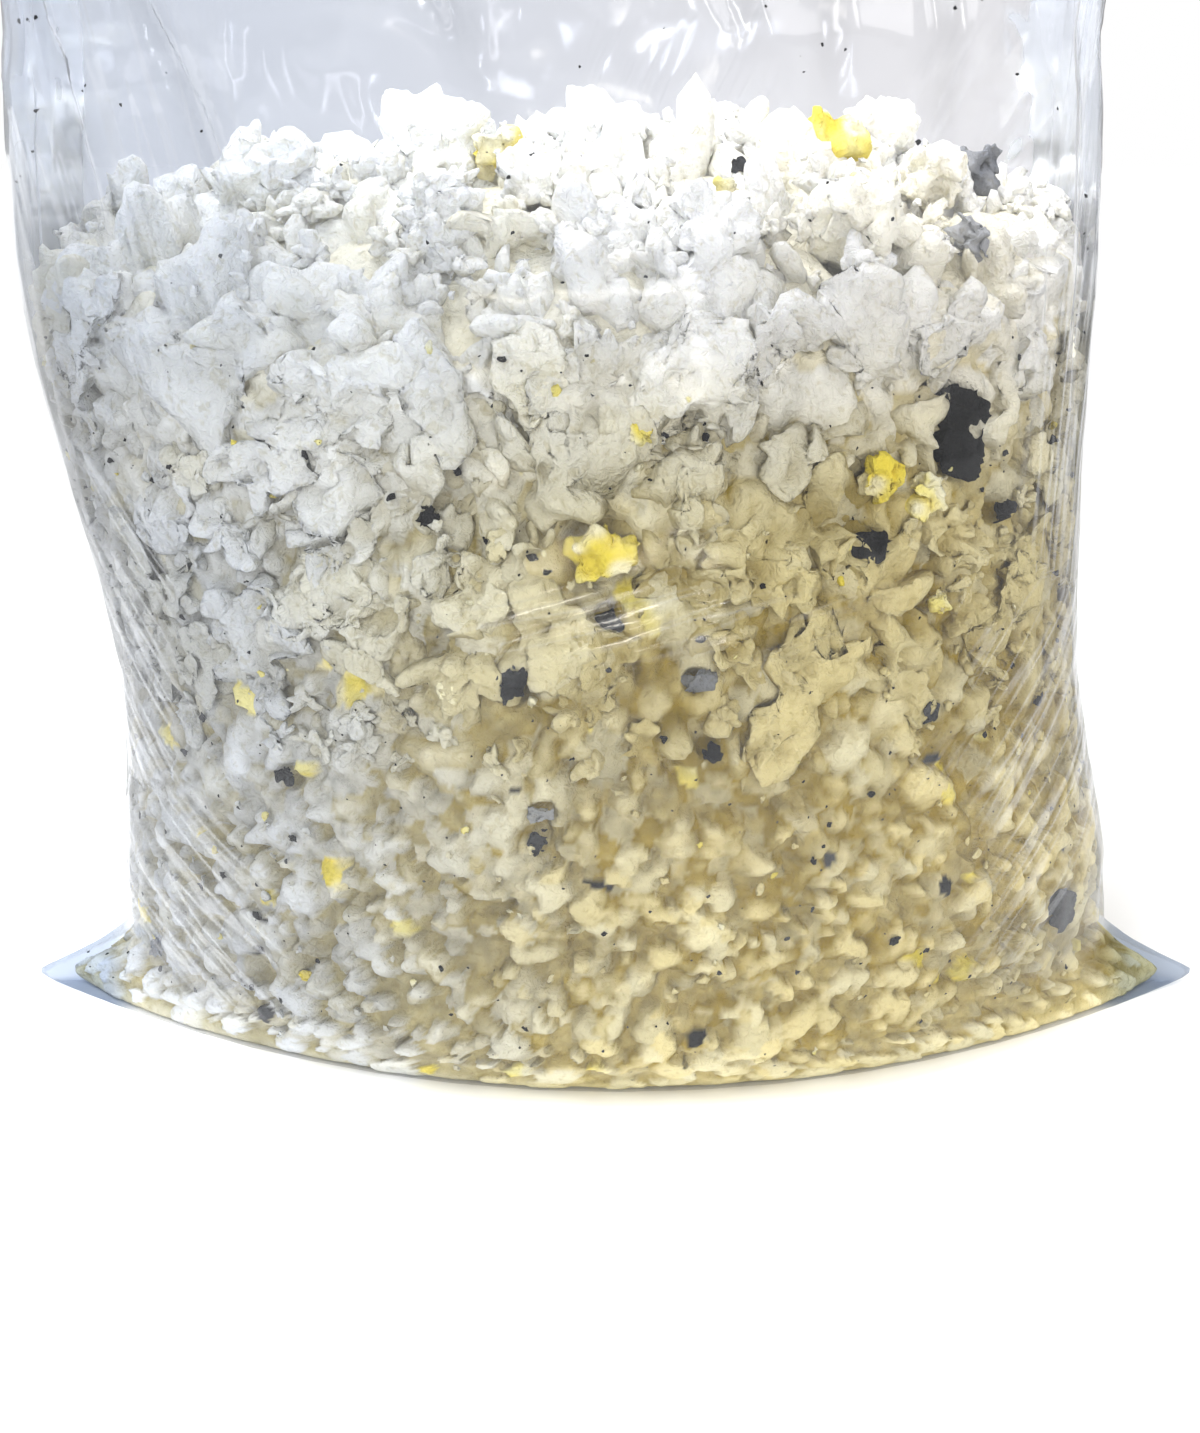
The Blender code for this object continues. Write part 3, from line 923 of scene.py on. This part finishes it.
            warmth[span][nearer] = np.clip(cream + (draw[i] - 0.5) * 0.95, 0, 1)
            tone[span][nearer] = tones[i]
            colour = 0
            if draw[i] < 0.022:
                colour = 2
            elif draw[i] > 0.986 and size[i] < 0.011:
                colour = 3
            kind[span][nearer] = colour
        return inset, warmth, tone, kind


def lathe_mesh(name, rings, shades):
    """Joins rings of points with triangles, and closes both ends with a fan."""
    rows, columns = rings.shape[:2]
    index = np.arange(rows * columns).reshape(rows, columns)
    faces = [grid_faces(rows, columns)]
    points = rings.reshape(-1, 3)
    for ring, flip in ((0, True), (rows - 1, False)):
        points = np.vstack([points, rings[ring].mean(axis=0)])
        shades = np.vstack([shades, shades[index[ring][0]]])
        hub = np.full(columns, len(points) - 1)
        fan = np.stack([index[ring], np.roll(index[ring], -1), hub], -1)
        faces.append(fan[:, ::-1] if flip else fan)
    made = new_object(name, points, np.concatenate(faces), {"shade": shades})
    made.data.materials.append(foam_materials()["packed"])
    return made


class FOAMBAG_OT_single_shreds(BagOperator):
    """The largest single shreds, torn in detail where the frame holds them"""

    bl_idname = "foam_bag.single_shreds"
    bl_label = "Single shreds"

    def build(self):
        shape = bag_shape()
        for number, name in enumerate(SINGLE_SHREDS):
            self.tear(shape, number, name)

    def tear(self, shape, number, name):
        low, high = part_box(name)
        size = max(high - low)
        mesh = frame["nodes"][name].data.copy()
        bm = bmesh.new()
        bm.from_mesh(mesh)
        bmesh.ops.remove_doubles(bm, verts=bm.verts, dist=1e-5)
        bm.to_mesh(mesh)
        bm.free()
        block = bpy.data.objects.new("block", mesh)
        bpy.context.scene.collection.objects.link(block)
        remesh = block.modifiers.new("Even", "REMESH")
        remesh.mode = "VOXEL"
        remesh.voxel_size = max(size / (28 if is_dyed(name) else 20), 0.0009)
        graph = bpy.context.evaluated_depsgraph_get()
        even = bpy.data.meshes.new_from_object(block.evaluated_get(graph))
        bpy.data.objects.remove(block)
        count = len(even.vertices)
        points = np.zeros(count * 3)
        normals = np.zeros(count * 3)
        even.vertices.foreach_get("co", points)
        even.vertices.foreach_get("normal", normals)
        points, normals = points.reshape(-1, 3), normals.reshape(-1, 3)
        even.calc_loop_triangles()
        faces = np.zeros(len(even.loop_triangles) * 3, np.int32)
        even.loop_triangles.foreach_get("vertices", faces)
        bpy.data.meshes.remove(even)
        place = points / size + number * 7.3
        torn = noise(place, 0.22, 23) * 0.13 - ridges(place, 0.36, 11) ** 2 * 0.17 + 0.10
        fine = ridges(points, 0.0085, 37) ** 2 * -0.0042 + noise(points, 0.0042, 41) * 0.0020
        points = points + normals * (torn * size + fine * min(1, size / 0.025))[:, None]
        points += noise_vector(place, 0.16, 51) * size * 0.07
        points += noise_vector(points, 0.0055, 61) * 0.0016 * min(1, size / 0.025)
        points = shape.keep_inside(points, settings().foam.film_gap, DENT)
        colour = name.split("_")[0]
        # Painted shade: points deep under the film turn to the colour of the gaps
        depth = smooth(*GAP_SHADE_DEPTH, shape.depth(points))
        warmth = np.full(count, lower_warmth(points.mean(axis=0, keepdims=True))[0])
        shades = foam_shades(colour, points, warmth, np.ones(count), depth)
        made = new_object(f"torn_{name}", points, faces.reshape(-1, 3), {"shade": shades})
        made.data.materials.append(foam_materials()[colour])
        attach(made, "root")
        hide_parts(name)


def block_single_shreds(layout):
    for name in SINGLE_SHREDS:
        low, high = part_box(name)
        layout.block(np.array((low + high) / 2), max(high - low) / 2 * (2.1 if is_dyed(name) else 1.0))


# Each lot of loose shreds: its name, how many places are tried, low and high end on the wall (none
# for the heap), sizes, lift on the heap or flatness on the wall, whether it lies at the back,
# how close they may crowd, and the fineness of their mesh
LOOSE_LOTS = (
    ("heap_large", 1600, None, (0.060, 0.108), -0.32, False, 0.40, 9),
    ("heap_small", 1200, None, (0.026, 0.048), -0.02, False, 0.50, 6),
    ("rim_large", 900, (0.375, 0.420), (0.055, 0.095), 0.40, False, 0.40, 11),
    ("front_large", 1500, (0.25, 0.39), (0.048, 0.092), 0.34, False, 0.44, 10),
    ("front_small", 1200, (0.22, 0.42), (0.022, 0.042), 0.42, False, 0.56, 7),
    ("rim_back", 700, (0.37, 0.425), (0.050, 0.085), 0.40, True, 0.44, 6),
    ("back_large", 900, (0.25, 0.44), (0.050, 0.085), 0.36, True, 0.50, 5),
)

# Each lot of crumbs: its name, colour, number, low and high end on the wall (none for the heap),
# sizes, and lift on the heap or flatness on the wall
CRUMB_LOTS = (
    ("white_crumbs", "white", 150, (0.01, 0.44), (0.005, 0.010), 0.5),
    ("heap_crumbs", "white", 150, None, (0.005, 0.011), 1.4),
    ("charcoal_crumbs", "charcoal", 110, (0.01, 0.44), (0.003, 0.0085), 0.3),
    ("charcoal_dust", "charcoal", 470, (0.01, 0.44), (0.0012, 0.0034), 0.3),
    ("charcoal_specks", "charcoal", 70, (0.42, 0.66), (0.0015, 0.0045), 0.3),
    ("yellow_crumbs", "yellow", 60, (0.01, 0.44), (0.004, 0.009), 0.35),
)


def candidates(shape, rng, count, heights, size_range, fit, back=False):
    """Places on the wall between two heights, or on the heap where none are given."""
    if heights is None:
        return heap_candidates(shape, rng, count, size_range, fit)
    return wall_candidates(shape, rng, count, heights, size_range, fit, back)


class FOAMBAG_OT_loose_shreds(BagOperator):
    """The loose shreds: large ones over the heap, smaller and denser ones down the film"""

    bl_idname = "foam_bag.loose_shreds"
    bl_label = "Loose shreds"

    def build(self):
        shape = bag_shape()
        rng = np.random.default_rng(settings().foam.seed)
        layout = Layout()
        block_single_shreds(layout)
        tear = settings().foam.tear
        lots = []
        for label, count, heights, sizes, fit, back, crowding, steps in LOOSE_LOTS:
            places = candidates(shape, rng, count, heights, sizes, fit, back)
            lots.append((label, places, crowding, steps))
        for label, (centres, ways, sizes), crowding, steps in lots:
            kept = layout.throw(centres, sizes, crowding)
            centres, ways, sizes = centres[kept], ways[kept], sizes[kept]
            draw = rng.uniform(size=len(kept))
            colours = {
                "yellow": (draw < 0.03) & (sizes.max(1) < 0.05),
                "cream": (draw > 0.05) & (draw < 0.15 + 0.45 * lower_warmth(centres)),
            }
            colours["white"] = ~(colours["yellow"] | colours["cream"])
            for colour, chosen in colours.items():
                if not chosen.any():
                    continue
                made = torn_shreds(centres[chosen], sizes[chosen], ways[chosen], rng, steps, tear)
                warmth = np.clip(lower_warmth(centres[chosen]) + rng.uniform(-0.2, 0.2, chosen.sum()), 0, 1)
                link_shreds(f"{label}_{colour}", colour, shape, [(*made, warmth)], rng, DENT)


class FOAMBAG_OT_crumbs(BagOperator):
    """Crumbs between the shreds, and dark specks clinging to the film"""

    bl_idname = "foam_bag.crumbs"
    bl_label = "Crumbs"

    # Crumbs up to this size need no more than the plainest ball
    FINE = 0.007
    TEAR = 0.8

    def build(self):
        shape = bag_shape()
        rng = np.random.default_rng(settings().foam.seed + 1)
        lots = []
        for label, colour, count, heights, sizes, fit in CRUMB_LOTS:
            lots.append((label, colour, candidates(shape, rng, count, heights, sizes, fit)))
        for label, colour, (centres, ways, sizes) in lots:
            steps = 2 if sizes.max() > self.FINE else 1
            made = torn_shreds(centres, sizes, ways, rng, steps, self.TEAR)
            link_shreds(label, colour, shape, [(*made, lower_warmth(centres))], rng)


# Film


# Across at the low and the high end, low and high end, half width, depth, and front or back of
# each long fold in the slack film
FOLDS = (
    (-0.180, -0.285, 0.455, 0.764, 0.011, 0.0075, -1),
    (-0.262, -0.322, 0.440, 0.764, 0.008, 0.0050, -1),
    (-0.060, -0.120, 0.540, 0.764, 0.010, 0.0045, -1),
    (0.070, 0.020, 0.560, 0.764, 0.009, 0.0045, -1),
    (0.148, 0.185, 0.500, 0.764, 0.009, 0.0050, -1),
    (0.232, 0.222, 0.360, 0.764, 0.006, 0.0045, -1),
    (0.252, 0.245, 0.330, 0.764, 0.005, 0.0045, -1),
    (-0.100, -0.160, 0.560, 0.764, 0.012, 0.0065, 1),
    (0.120, 0.170, 0.520, 0.764, 0.012, 0.0060, 1),
    (0.010, 0.040, 0.600, 0.764, 0.010, 0.0050, 1),
)


def long_folds(place):
    """How far the long folds push the film out, and how much painted shade darkens them."""
    x, y, z = place[..., 0], place[..., 1], place[..., 2]
    push, dark = np.zeros_like(x), np.zeros_like(x)
    wander = noise(place * np.array([0, 0, 1.0]), 0.09, 151) * 0.012
    for low_x, high_x, low_z, high_z, width, depth, side in FOLDS:
        share = (z - low_z) / (high_z - low_z)
        away = (x - (low_x + (high_x - low_x) * share) - wander) / width
        ends = smooth(0, 0.25, share) * (y * side > 0)
        bell = np.exp(-(away**2)) * ends
        push += depth * (away * 1.5 * bell - 0.4 * np.exp(-((away / 2.2) ** 2)) * ends)
        dark += bell
    return push, np.clip(dark, 0, 1)


def film_relief(place, z, heap):
    """How far the film stands in or out at each point: slack folds above the fill, fine ones below."""
    film = settings().film
    free = smooth(0.01, 0.12, z - heap)
    drawn = place * np.array([1.0, 0.6, 0.22])
    slack = noise(drawn, 0.075, 101) * 0.55 + noise(place, 0.055, 105) * 0.35
    slack += (ridges(drawn, 0.045, 103) ** 3 - 0.3) * 0.45 * smooth(-0.3, 0.4, noise(place, 0.16, 109))
    slack += ridges(place, 0.03, 107) ** 4 * 0.16
    taut = noise(place, 0.030, 111) * 0.5 + noise(place, 0.012, 113) * 0.25
    bent = place + noise_vector(place, 0.06, 123) * 0.03
    crumple = noise(bent, 0.048, 117) * 0.0022 + noise(bent, 0.022, 119) * 0.0007
    crumple *= 0.30 + 0.70 * free
    return film.fold * slack * free + film.cling * taut * (1 - free) + crumple + long_folds(place)[0]


class FOAMBAG_OT_film(BagOperator):
    """The clear film: taut over the fill, folded and creased above it, with an ear at each side"""

    bl_idname = "foam_bag.film"
    bl_label = "Film"

    def build(self):
        film = settings().film
        shape = bag_shape()
        columns, rows = film.around, film.upward
        turn = np.linspace(0, 2 * math.pi, columns, endpoint=False)
        rise = np.linspace(0, 1, rows) ** 1.12
        z = 0.0006 + rise * (shape.top - 0.0012)
        width = shape.radius(shape.centre(z) + 1, np.zeros(rows), z)
        depth = shape.radius(shape.centre(z), np.full(rows, -1.0), z)
        x = width[:, None] * np.cos(turn)
        y = depth[:, None] * np.sin(turn)
        zz = np.repeat(z[:, None], columns, axis=1)
        centre = shape.centre(zz)
        reach = np.hypot(x, y)
        radius = shape.radius(centre + x, y, zz)
        place = np.stack([centre + x, y, zz], axis=-1)
        heap = shape.heap_height(centre + x * 0.97, y * 0.97)
        folds = film_relief(place, zz, heap)
        folds *= smooth(0.0, 0.05, zz)
        share = (radius + folds) / reach
        points = np.stack([centre + x * share, y * share, zz], axis=-1)
        mouth = smooth(0.72, 0.765, zz)
        points[..., 2] += mouth * 0.004 * noise(place * np.array([1, 1, 0]), 0.06, 121)
        rings = [points]
        for step in range(1, 10):
            inner = 1 - step / 10
            ring = points[0] * np.array([inner, inner, 1])
            rings.insert(0, ring[None])
        points = np.concatenate(rings)
        faces = grid_faces(*points.shape[:2])
        hub = len(points.reshape(-1, 3))
        flat_points = np.vstack([points.reshape(-1, 3), [[0, 0, 0.0006]]])
        first = np.arange(columns)
        fan = np.stack([np.roll(first, -1), first, np.full(columns, hub)], -1)
        faces = np.concatenate([faces, fan])
        crease, flow = crease_attributes(flat_points)
        slack = smooth(0.36, 0.47, flat_points[:, 2])
        ear = smooth(0.30, 0.325, np.abs(flat_points[:, 0])) * (flat_points[:, 2] < 0.06)
        foot = 1 - smooth(0.010, 0.045, flat_points[:, 2])
        gloss = (0.95 + 0.40 * slack) * (1 - 0.75 * np.maximum(ear, foot))
        # Painted light: the tint turns cooler and darker towards the left
        cool = 1 - smooth(-0.30, 0.22, flat_points[:, 0])
        tint = blend(film.tint_right, film.tint_left, cool)
        tint = blend((0.965, 0.965, 0.965), tint, slack)
        tint = blend(tint, (0.66, 0.70, 0.765), ear)
        # Milky clouding of the film, with painted shade along the long folds
        cloud_and_fold_shade = 0.03 * noise(flat_points, 0.09, 141) - 0.13 * long_folds(flat_points)[1]
        tint = tint * (1 + cloud_and_fold_shade * slack)[:, None]
        values = {"crease": crease, "flow": flow, "gloss": gloss, "shade": np.clip(tint, 0, 1)}
        made = new_object("clear_film", flat_points, faces, values)
        made.data.materials.append(film_material())
        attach(made, "root")
        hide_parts("bag_film")


def grid_faces(rows, columns):
    index = np.arange(rows * columns).reshape(rows, columns)
    beside = np.roll(index, -1, axis=1)
    a, b, c, d = index[:-1], beside[:-1], beside[1:], index[1:]
    return np.concatenate([np.stack([a, b, c], -1).reshape(-1, 3), np.stack([a, c, d], -1).reshape(-1, 3)])


# Middle along x and z, front or back, reach, lean in degrees, fineness, length and strength of each
# set of creases
CREASES = (
    ((0.268, 0.52), -1, (0.050, 0.22), 3, 190, 5.0, 1.0),
    ((0.255, 0.18), -1, (0.065, 0.12), 38, 95, 5.0, 0.50),
    ((-0.285, 0.27), -1, (0.050, 0.12), -38, 80, 6.0, 0.55),
    ((-0.265, 0.10), -1, (0.060, 0.08), -50, 75, 7.0, 0.50),
    ((-0.245, 0.52), -1, (0.080, 0.12), -14, 90, 6.0, 0.40),
    ((0.02, 0.30), -1, (0.12, 0.02), 76, 110, 9.0, 0.30),
    ((0.12, 0.33), 1, (0.22, 0.24), 25, 80, 6.0, 0.5),
    ((-0.15, 0.18), 1, (0.20, 0.18), -40, 90, 6.0, 0.5),
)


def crease_attributes(place):
    """How creased the film is at each point, and the stretched place that its lines are drawn on."""
    strength = np.zeros(place.shape[:-1])
    flow = place * 60.0
    wander = noise(place, 0.07, 131) * 0.45 + noise(place, 0.03, 133) * 0.2
    for (x, z), side, (wide, high), lean, fineness, length, power in CREASES:
        off_x, off_z = place[..., 0] - x, place[..., 2] - z
        far = np.hypot(off_x / wide, off_z / high) + wander
        patch = power * (1 - smooth(0.55, 1.35, far)) * (place[..., 1] * side > -0.03)
        angle = math.radians(lean)
        across = off_x * math.cos(angle) - off_z * math.sin(angle)
        along = off_x * math.sin(angle) + off_z * math.cos(angle)
        lines = np.stack([across * fineness, place[..., 1] * length, along * length], axis=-1)
        stronger = patch > strength
        strength = np.maximum(strength, patch)
        flow = np.where(stronger[..., None], lines, flow)
    return strength, flow


def add_crinkles(nodes):
    """Milky crests along the creases, and the creases' relief."""
    crease = nodes.attribute("crease")
    flow = nodes.add("ShaderNodeAttribute", attribute_name="flow").outputs["Vector"]
    line = nodes.noise(flow, 1.0, 1.0, 0.6, 0.25)
    off = nodes.math("ABSOLUTE", nodes.math("SUBTRACT", line, 0.5))
    crests = nodes.math("MULTIPLY", nodes.span(off, 0.0, 0.07, 1.0, 0.0), crease)
    return crests, nodes.math("MULTIPLY", nodes.math("MULTIPLY", line, crease), 0.5)


def film_material():
    """Clear polythene: tinted see-through, glossy, and milky along its creases."""
    film = settings().film
    material = bpy.data.materials.new("clear film")
    material.use_nodes = True
    tree = material.node_tree
    nodes = Nodes(tree)
    shader = tree.nodes["Principled BSDF"]
    crests, relief = add_crinkles(nodes)
    bump = nodes.add("ShaderNodeBump", {"Height": relief, "Distance": 0.010, "Strength": 0.7})
    tint = nodes.add("ShaderNodeAttribute", attribute_name="shade").outputs["Color"]
    clear = nodes.add("ShaderNodeBsdfTransparent", {"Color": tint})
    gloss = nodes.add("ShaderNodeFresnel", {"IOR": 1.5, "Normal": bump.outputs[0]}).outputs[0]
    gloss = nodes.math("MULTIPLY", gloss, nodes.attribute("gloss"))
    share = nodes.math("ADD", gloss, nodes.math("MULTIPLY", crests, 0.35), clamp=True)
    mixed = nodes.add("ShaderNodeMixShader", {0: share, 1: clear.outputs[0], 2: shader.outputs[0]})
    shader.inputs["Base Color"].default_value = rgba(film.haze)
    shader.inputs["Roughness"].default_value = 0.13
    shader.inputs["Metallic"].default_value = 0.7
    tree.links.new(bump.outputs[0], shader.inputs["Normal"])
    tree.links.new(mixed.outputs[0], tree.nodes["Material Output"].inputs["Surface"])
    return material


# Stage


# Name, place, size, watts, colour of each lamp, and whether the film mirrors it
LIGHTS = (
    ("key_left", (-1.2, -1.4, 2.2), (1.6, 1.6), 65, (0.94, 0.97, 1.0), True),
    ("fill_right", (1.8, -1.2, 1.5), (1.2, 1.4), 21, (1.0, 0.96, 0.90), True),
    ("top", (-0.55, -0.2, 2.1), (1.6, 1.3), 50, (1.0, 1.0, 1.0), True),
    ("strip_left", (-0.95, -1.7, 1.25), (0.10, 0.8), 4.2, (0.93, 0.97, 1.0), True),
    ("strip_right", (1.0, -1.6, 1.0), (0.10, 0.7), 3.4, (1.0, 0.96, 0.90), True),
    ("strip_near_left", (-0.45, -1.6, 1.00), (0.30, 0.10), 2.6, (0.95, 0.98, 1.0), True),
    ("strip_near_right", (0.42, -1.7, 0.85), (0.10, 0.30), 2.6, (1.0, 1.0, 1.0), True),
    ("strip_low", (0.1, -1.9, 0.20), (0.9, 0.06), 2.2, (1.0, 0.92, 0.76), True),
    ("front_low", (0.15, -2.0, 0.45), (1.0, 0.5), 5, (1.0, 0.97, 0.90), False),
)
LIGHTS_AIM = Vector((0, 0, 0.32))


def soft_light(name, place, size, power, colour, mirrored):
    """A rectangular lamp that points at the middle of the bag."""
    lamp = bpy.data.lights.new(name, "AREA")
    lamp.shape = "RECTANGLE"
    lamp.size, lamp.size_y = size
    lamp.energy = power * settings().stage.light
    lamp.color = colour
    made = bpy.data.objects.new(name, lamp)
    made.location = place
    made.rotation_euler = (LIGHTS_AIM - Vector(place)).to_track_quat("-Z", "Y").to_euler()
    made.visible_glossy = mirrored
    bpy.context.scene.collection.objects.link(made)
    return made


class FOAMBAG_OT_stage(BagOperator):
    """Floor, white surroundings, lamps and the camera"""

    bl_idname = "foam_bag.stage"
    bl_label = "Stage"

    # Strength of the surroundings as a source of light, and how much less the film mirrors of them
    AMBIENT = 0.66
    LESS_MIRRORED = 0.38

    # The floor's half width, and the distances between which it turns into pure white
    FLOOR_SIDE = 6.0
    FLOOR_FADE = (0.35, 1.6)
    FLOOR_NEAR = (0.90, 0.90, 0.90, 1.0)
    BLACK = (0.0, 0.0, 0.0, 1.0)

    CAMERA_ACROSS = -0.010

    def build(self):
        self.world()
        self.floor()
        self.lights()
        self.camera()
        view = bpy.context.scene.view_settings
        view.view_transform = "Standard"

    def world(self):
        world = bpy.data.worlds.new("studio")
        bpy.context.scene.world = world
        world.use_nodes = True
        nodes = Nodes(world.node_tree)
        path = nodes.add("ShaderNodeLightPath")
        seen = nodes.math("MAXIMUM", path.outputs["Is Camera Ray"], path.outputs["Is Transmission Ray"])
        strength = nodes.span(seen, 0.0, 1.0, self.AMBIENT, 1.0)
        mirrored = nodes.math("MULTIPLY", path.outputs["Is Glossy Ray"], self.LESS_MIRRORED)
        strength = nodes.math("SUBTRACT", strength, mirrored)
        back = world.node_tree.nodes["Background"]
        back.inputs["Color"].default_value = WHITE
        world.node_tree.links.new(strength, back.inputs["Strength"])

    def floor(self):
        side = self.FLOOR_SIDE
        corners = np.array([[-side, -side, 0], [side, -side, 0], [side, side, 0], [-side, side, 0]])
        made = new_object("floor", corners, np.array([[0, 1, 2, 3]]))
        material = bpy.data.materials.new("pale floor")
        material.use_nodes = True
        shader = material.node_tree.nodes["Principled BSDF"]
        shader.inputs["Roughness"].default_value = 0.8
        shader.inputs["Specular IOR Level"].default_value = 0.1
        nodes = Nodes(material.node_tree)
        place = nodes.add("ShaderNodeNewGeometry").outputs["Position"]
        far = nodes.add("ShaderNodeVectorMath", {0: place}, operation="LENGTH").outputs["Value"]
        away = nodes.span(far, *self.FLOOR_FADE)
        pale = nodes.mix(away, self.FLOOR_NEAR, self.BLACK)
        shader.inputs["Emission Color"].default_value = WHITE
        nodes.tree.links.new(pale, shader.inputs["Base Color"])
        nodes.tree.links.new(away, shader.inputs["Emission Strength"])
        made.data.materials.append(material)

    def lights(self):
        for lamp in LIGHTS:
            soft_light(*lamp)

    def camera(self):
        stage = settings().stage
        camera = bpy.data.cameras.new("camera")
        camera.lens = stage.lens
        camera.sensor_width = 36.0
        made = bpy.data.objects.new("camera", camera)
        made.location = (self.CAMERA_ACROSS, -stage.camera_distance, stage.camera_height)
        made.rotation_euler = (math.pi / 2 - stage.camera_pitch, 0, 0)
        bpy.context.scene.collection.objects.link(made)
        bpy.context.scene.camera = made


class FOAMBAG_PT_panel(bpy.types.Panel):
    """Lists the bag's operators and settings"""

    bl_idname = "FOAMBAG_PT_panel"
    bl_label = "Foam bag"
    bl_space_type = "VIEW_3D"
    bl_region_type = "UI"
    bl_category = "Foam bag"

    def draw(self, context):
        for operator in OPERATORS:
            self.layout.operator(operator.bl_idname)
        bag = context.scene.foam_bag
        for group in (bag.film, bag.foam, bag.colours, bag.stage):
            box = self.layout.box()
            for name in group.bl_rna.properties.keys():
                if name not in ("rna_type", "name"):
                    box.prop(group, name)


OPERATORS = (
    FOAMBAG_OT_stage,
    FOAMBAG_OT_packed_core,
    FOAMBAG_OT_single_shreds,
    FOAMBAG_OT_loose_shreds,
    FOAMBAG_OT_crumbs,
    FOAMBAG_OT_film,
)
GROUPS = (FilmSettings, FoamSettings, ColourSettings, StageSettings, BagSettings)


def register():
    for kind in (*GROUPS, *OPERATORS, FOAMBAG_PT_panel):
        bpy.utils.register_class(kind)
    bpy.types.Scene.foam_bag = PointerProperty(type=BagSettings)


def unregister():
    del bpy.types.Scene.foam_bag
    for kind in reversed((*GROUPS, *OPERATORS, FOAMBAG_PT_panel)):
        bpy.utils.unregister_class(kind)


def main():
    register()
    for operator in OPERATORS:
        group, name = operator.bl_idname.split(".")
        getattr(getattr(bpy.ops, group), name)()


if __name__ == "__main__":
    main()
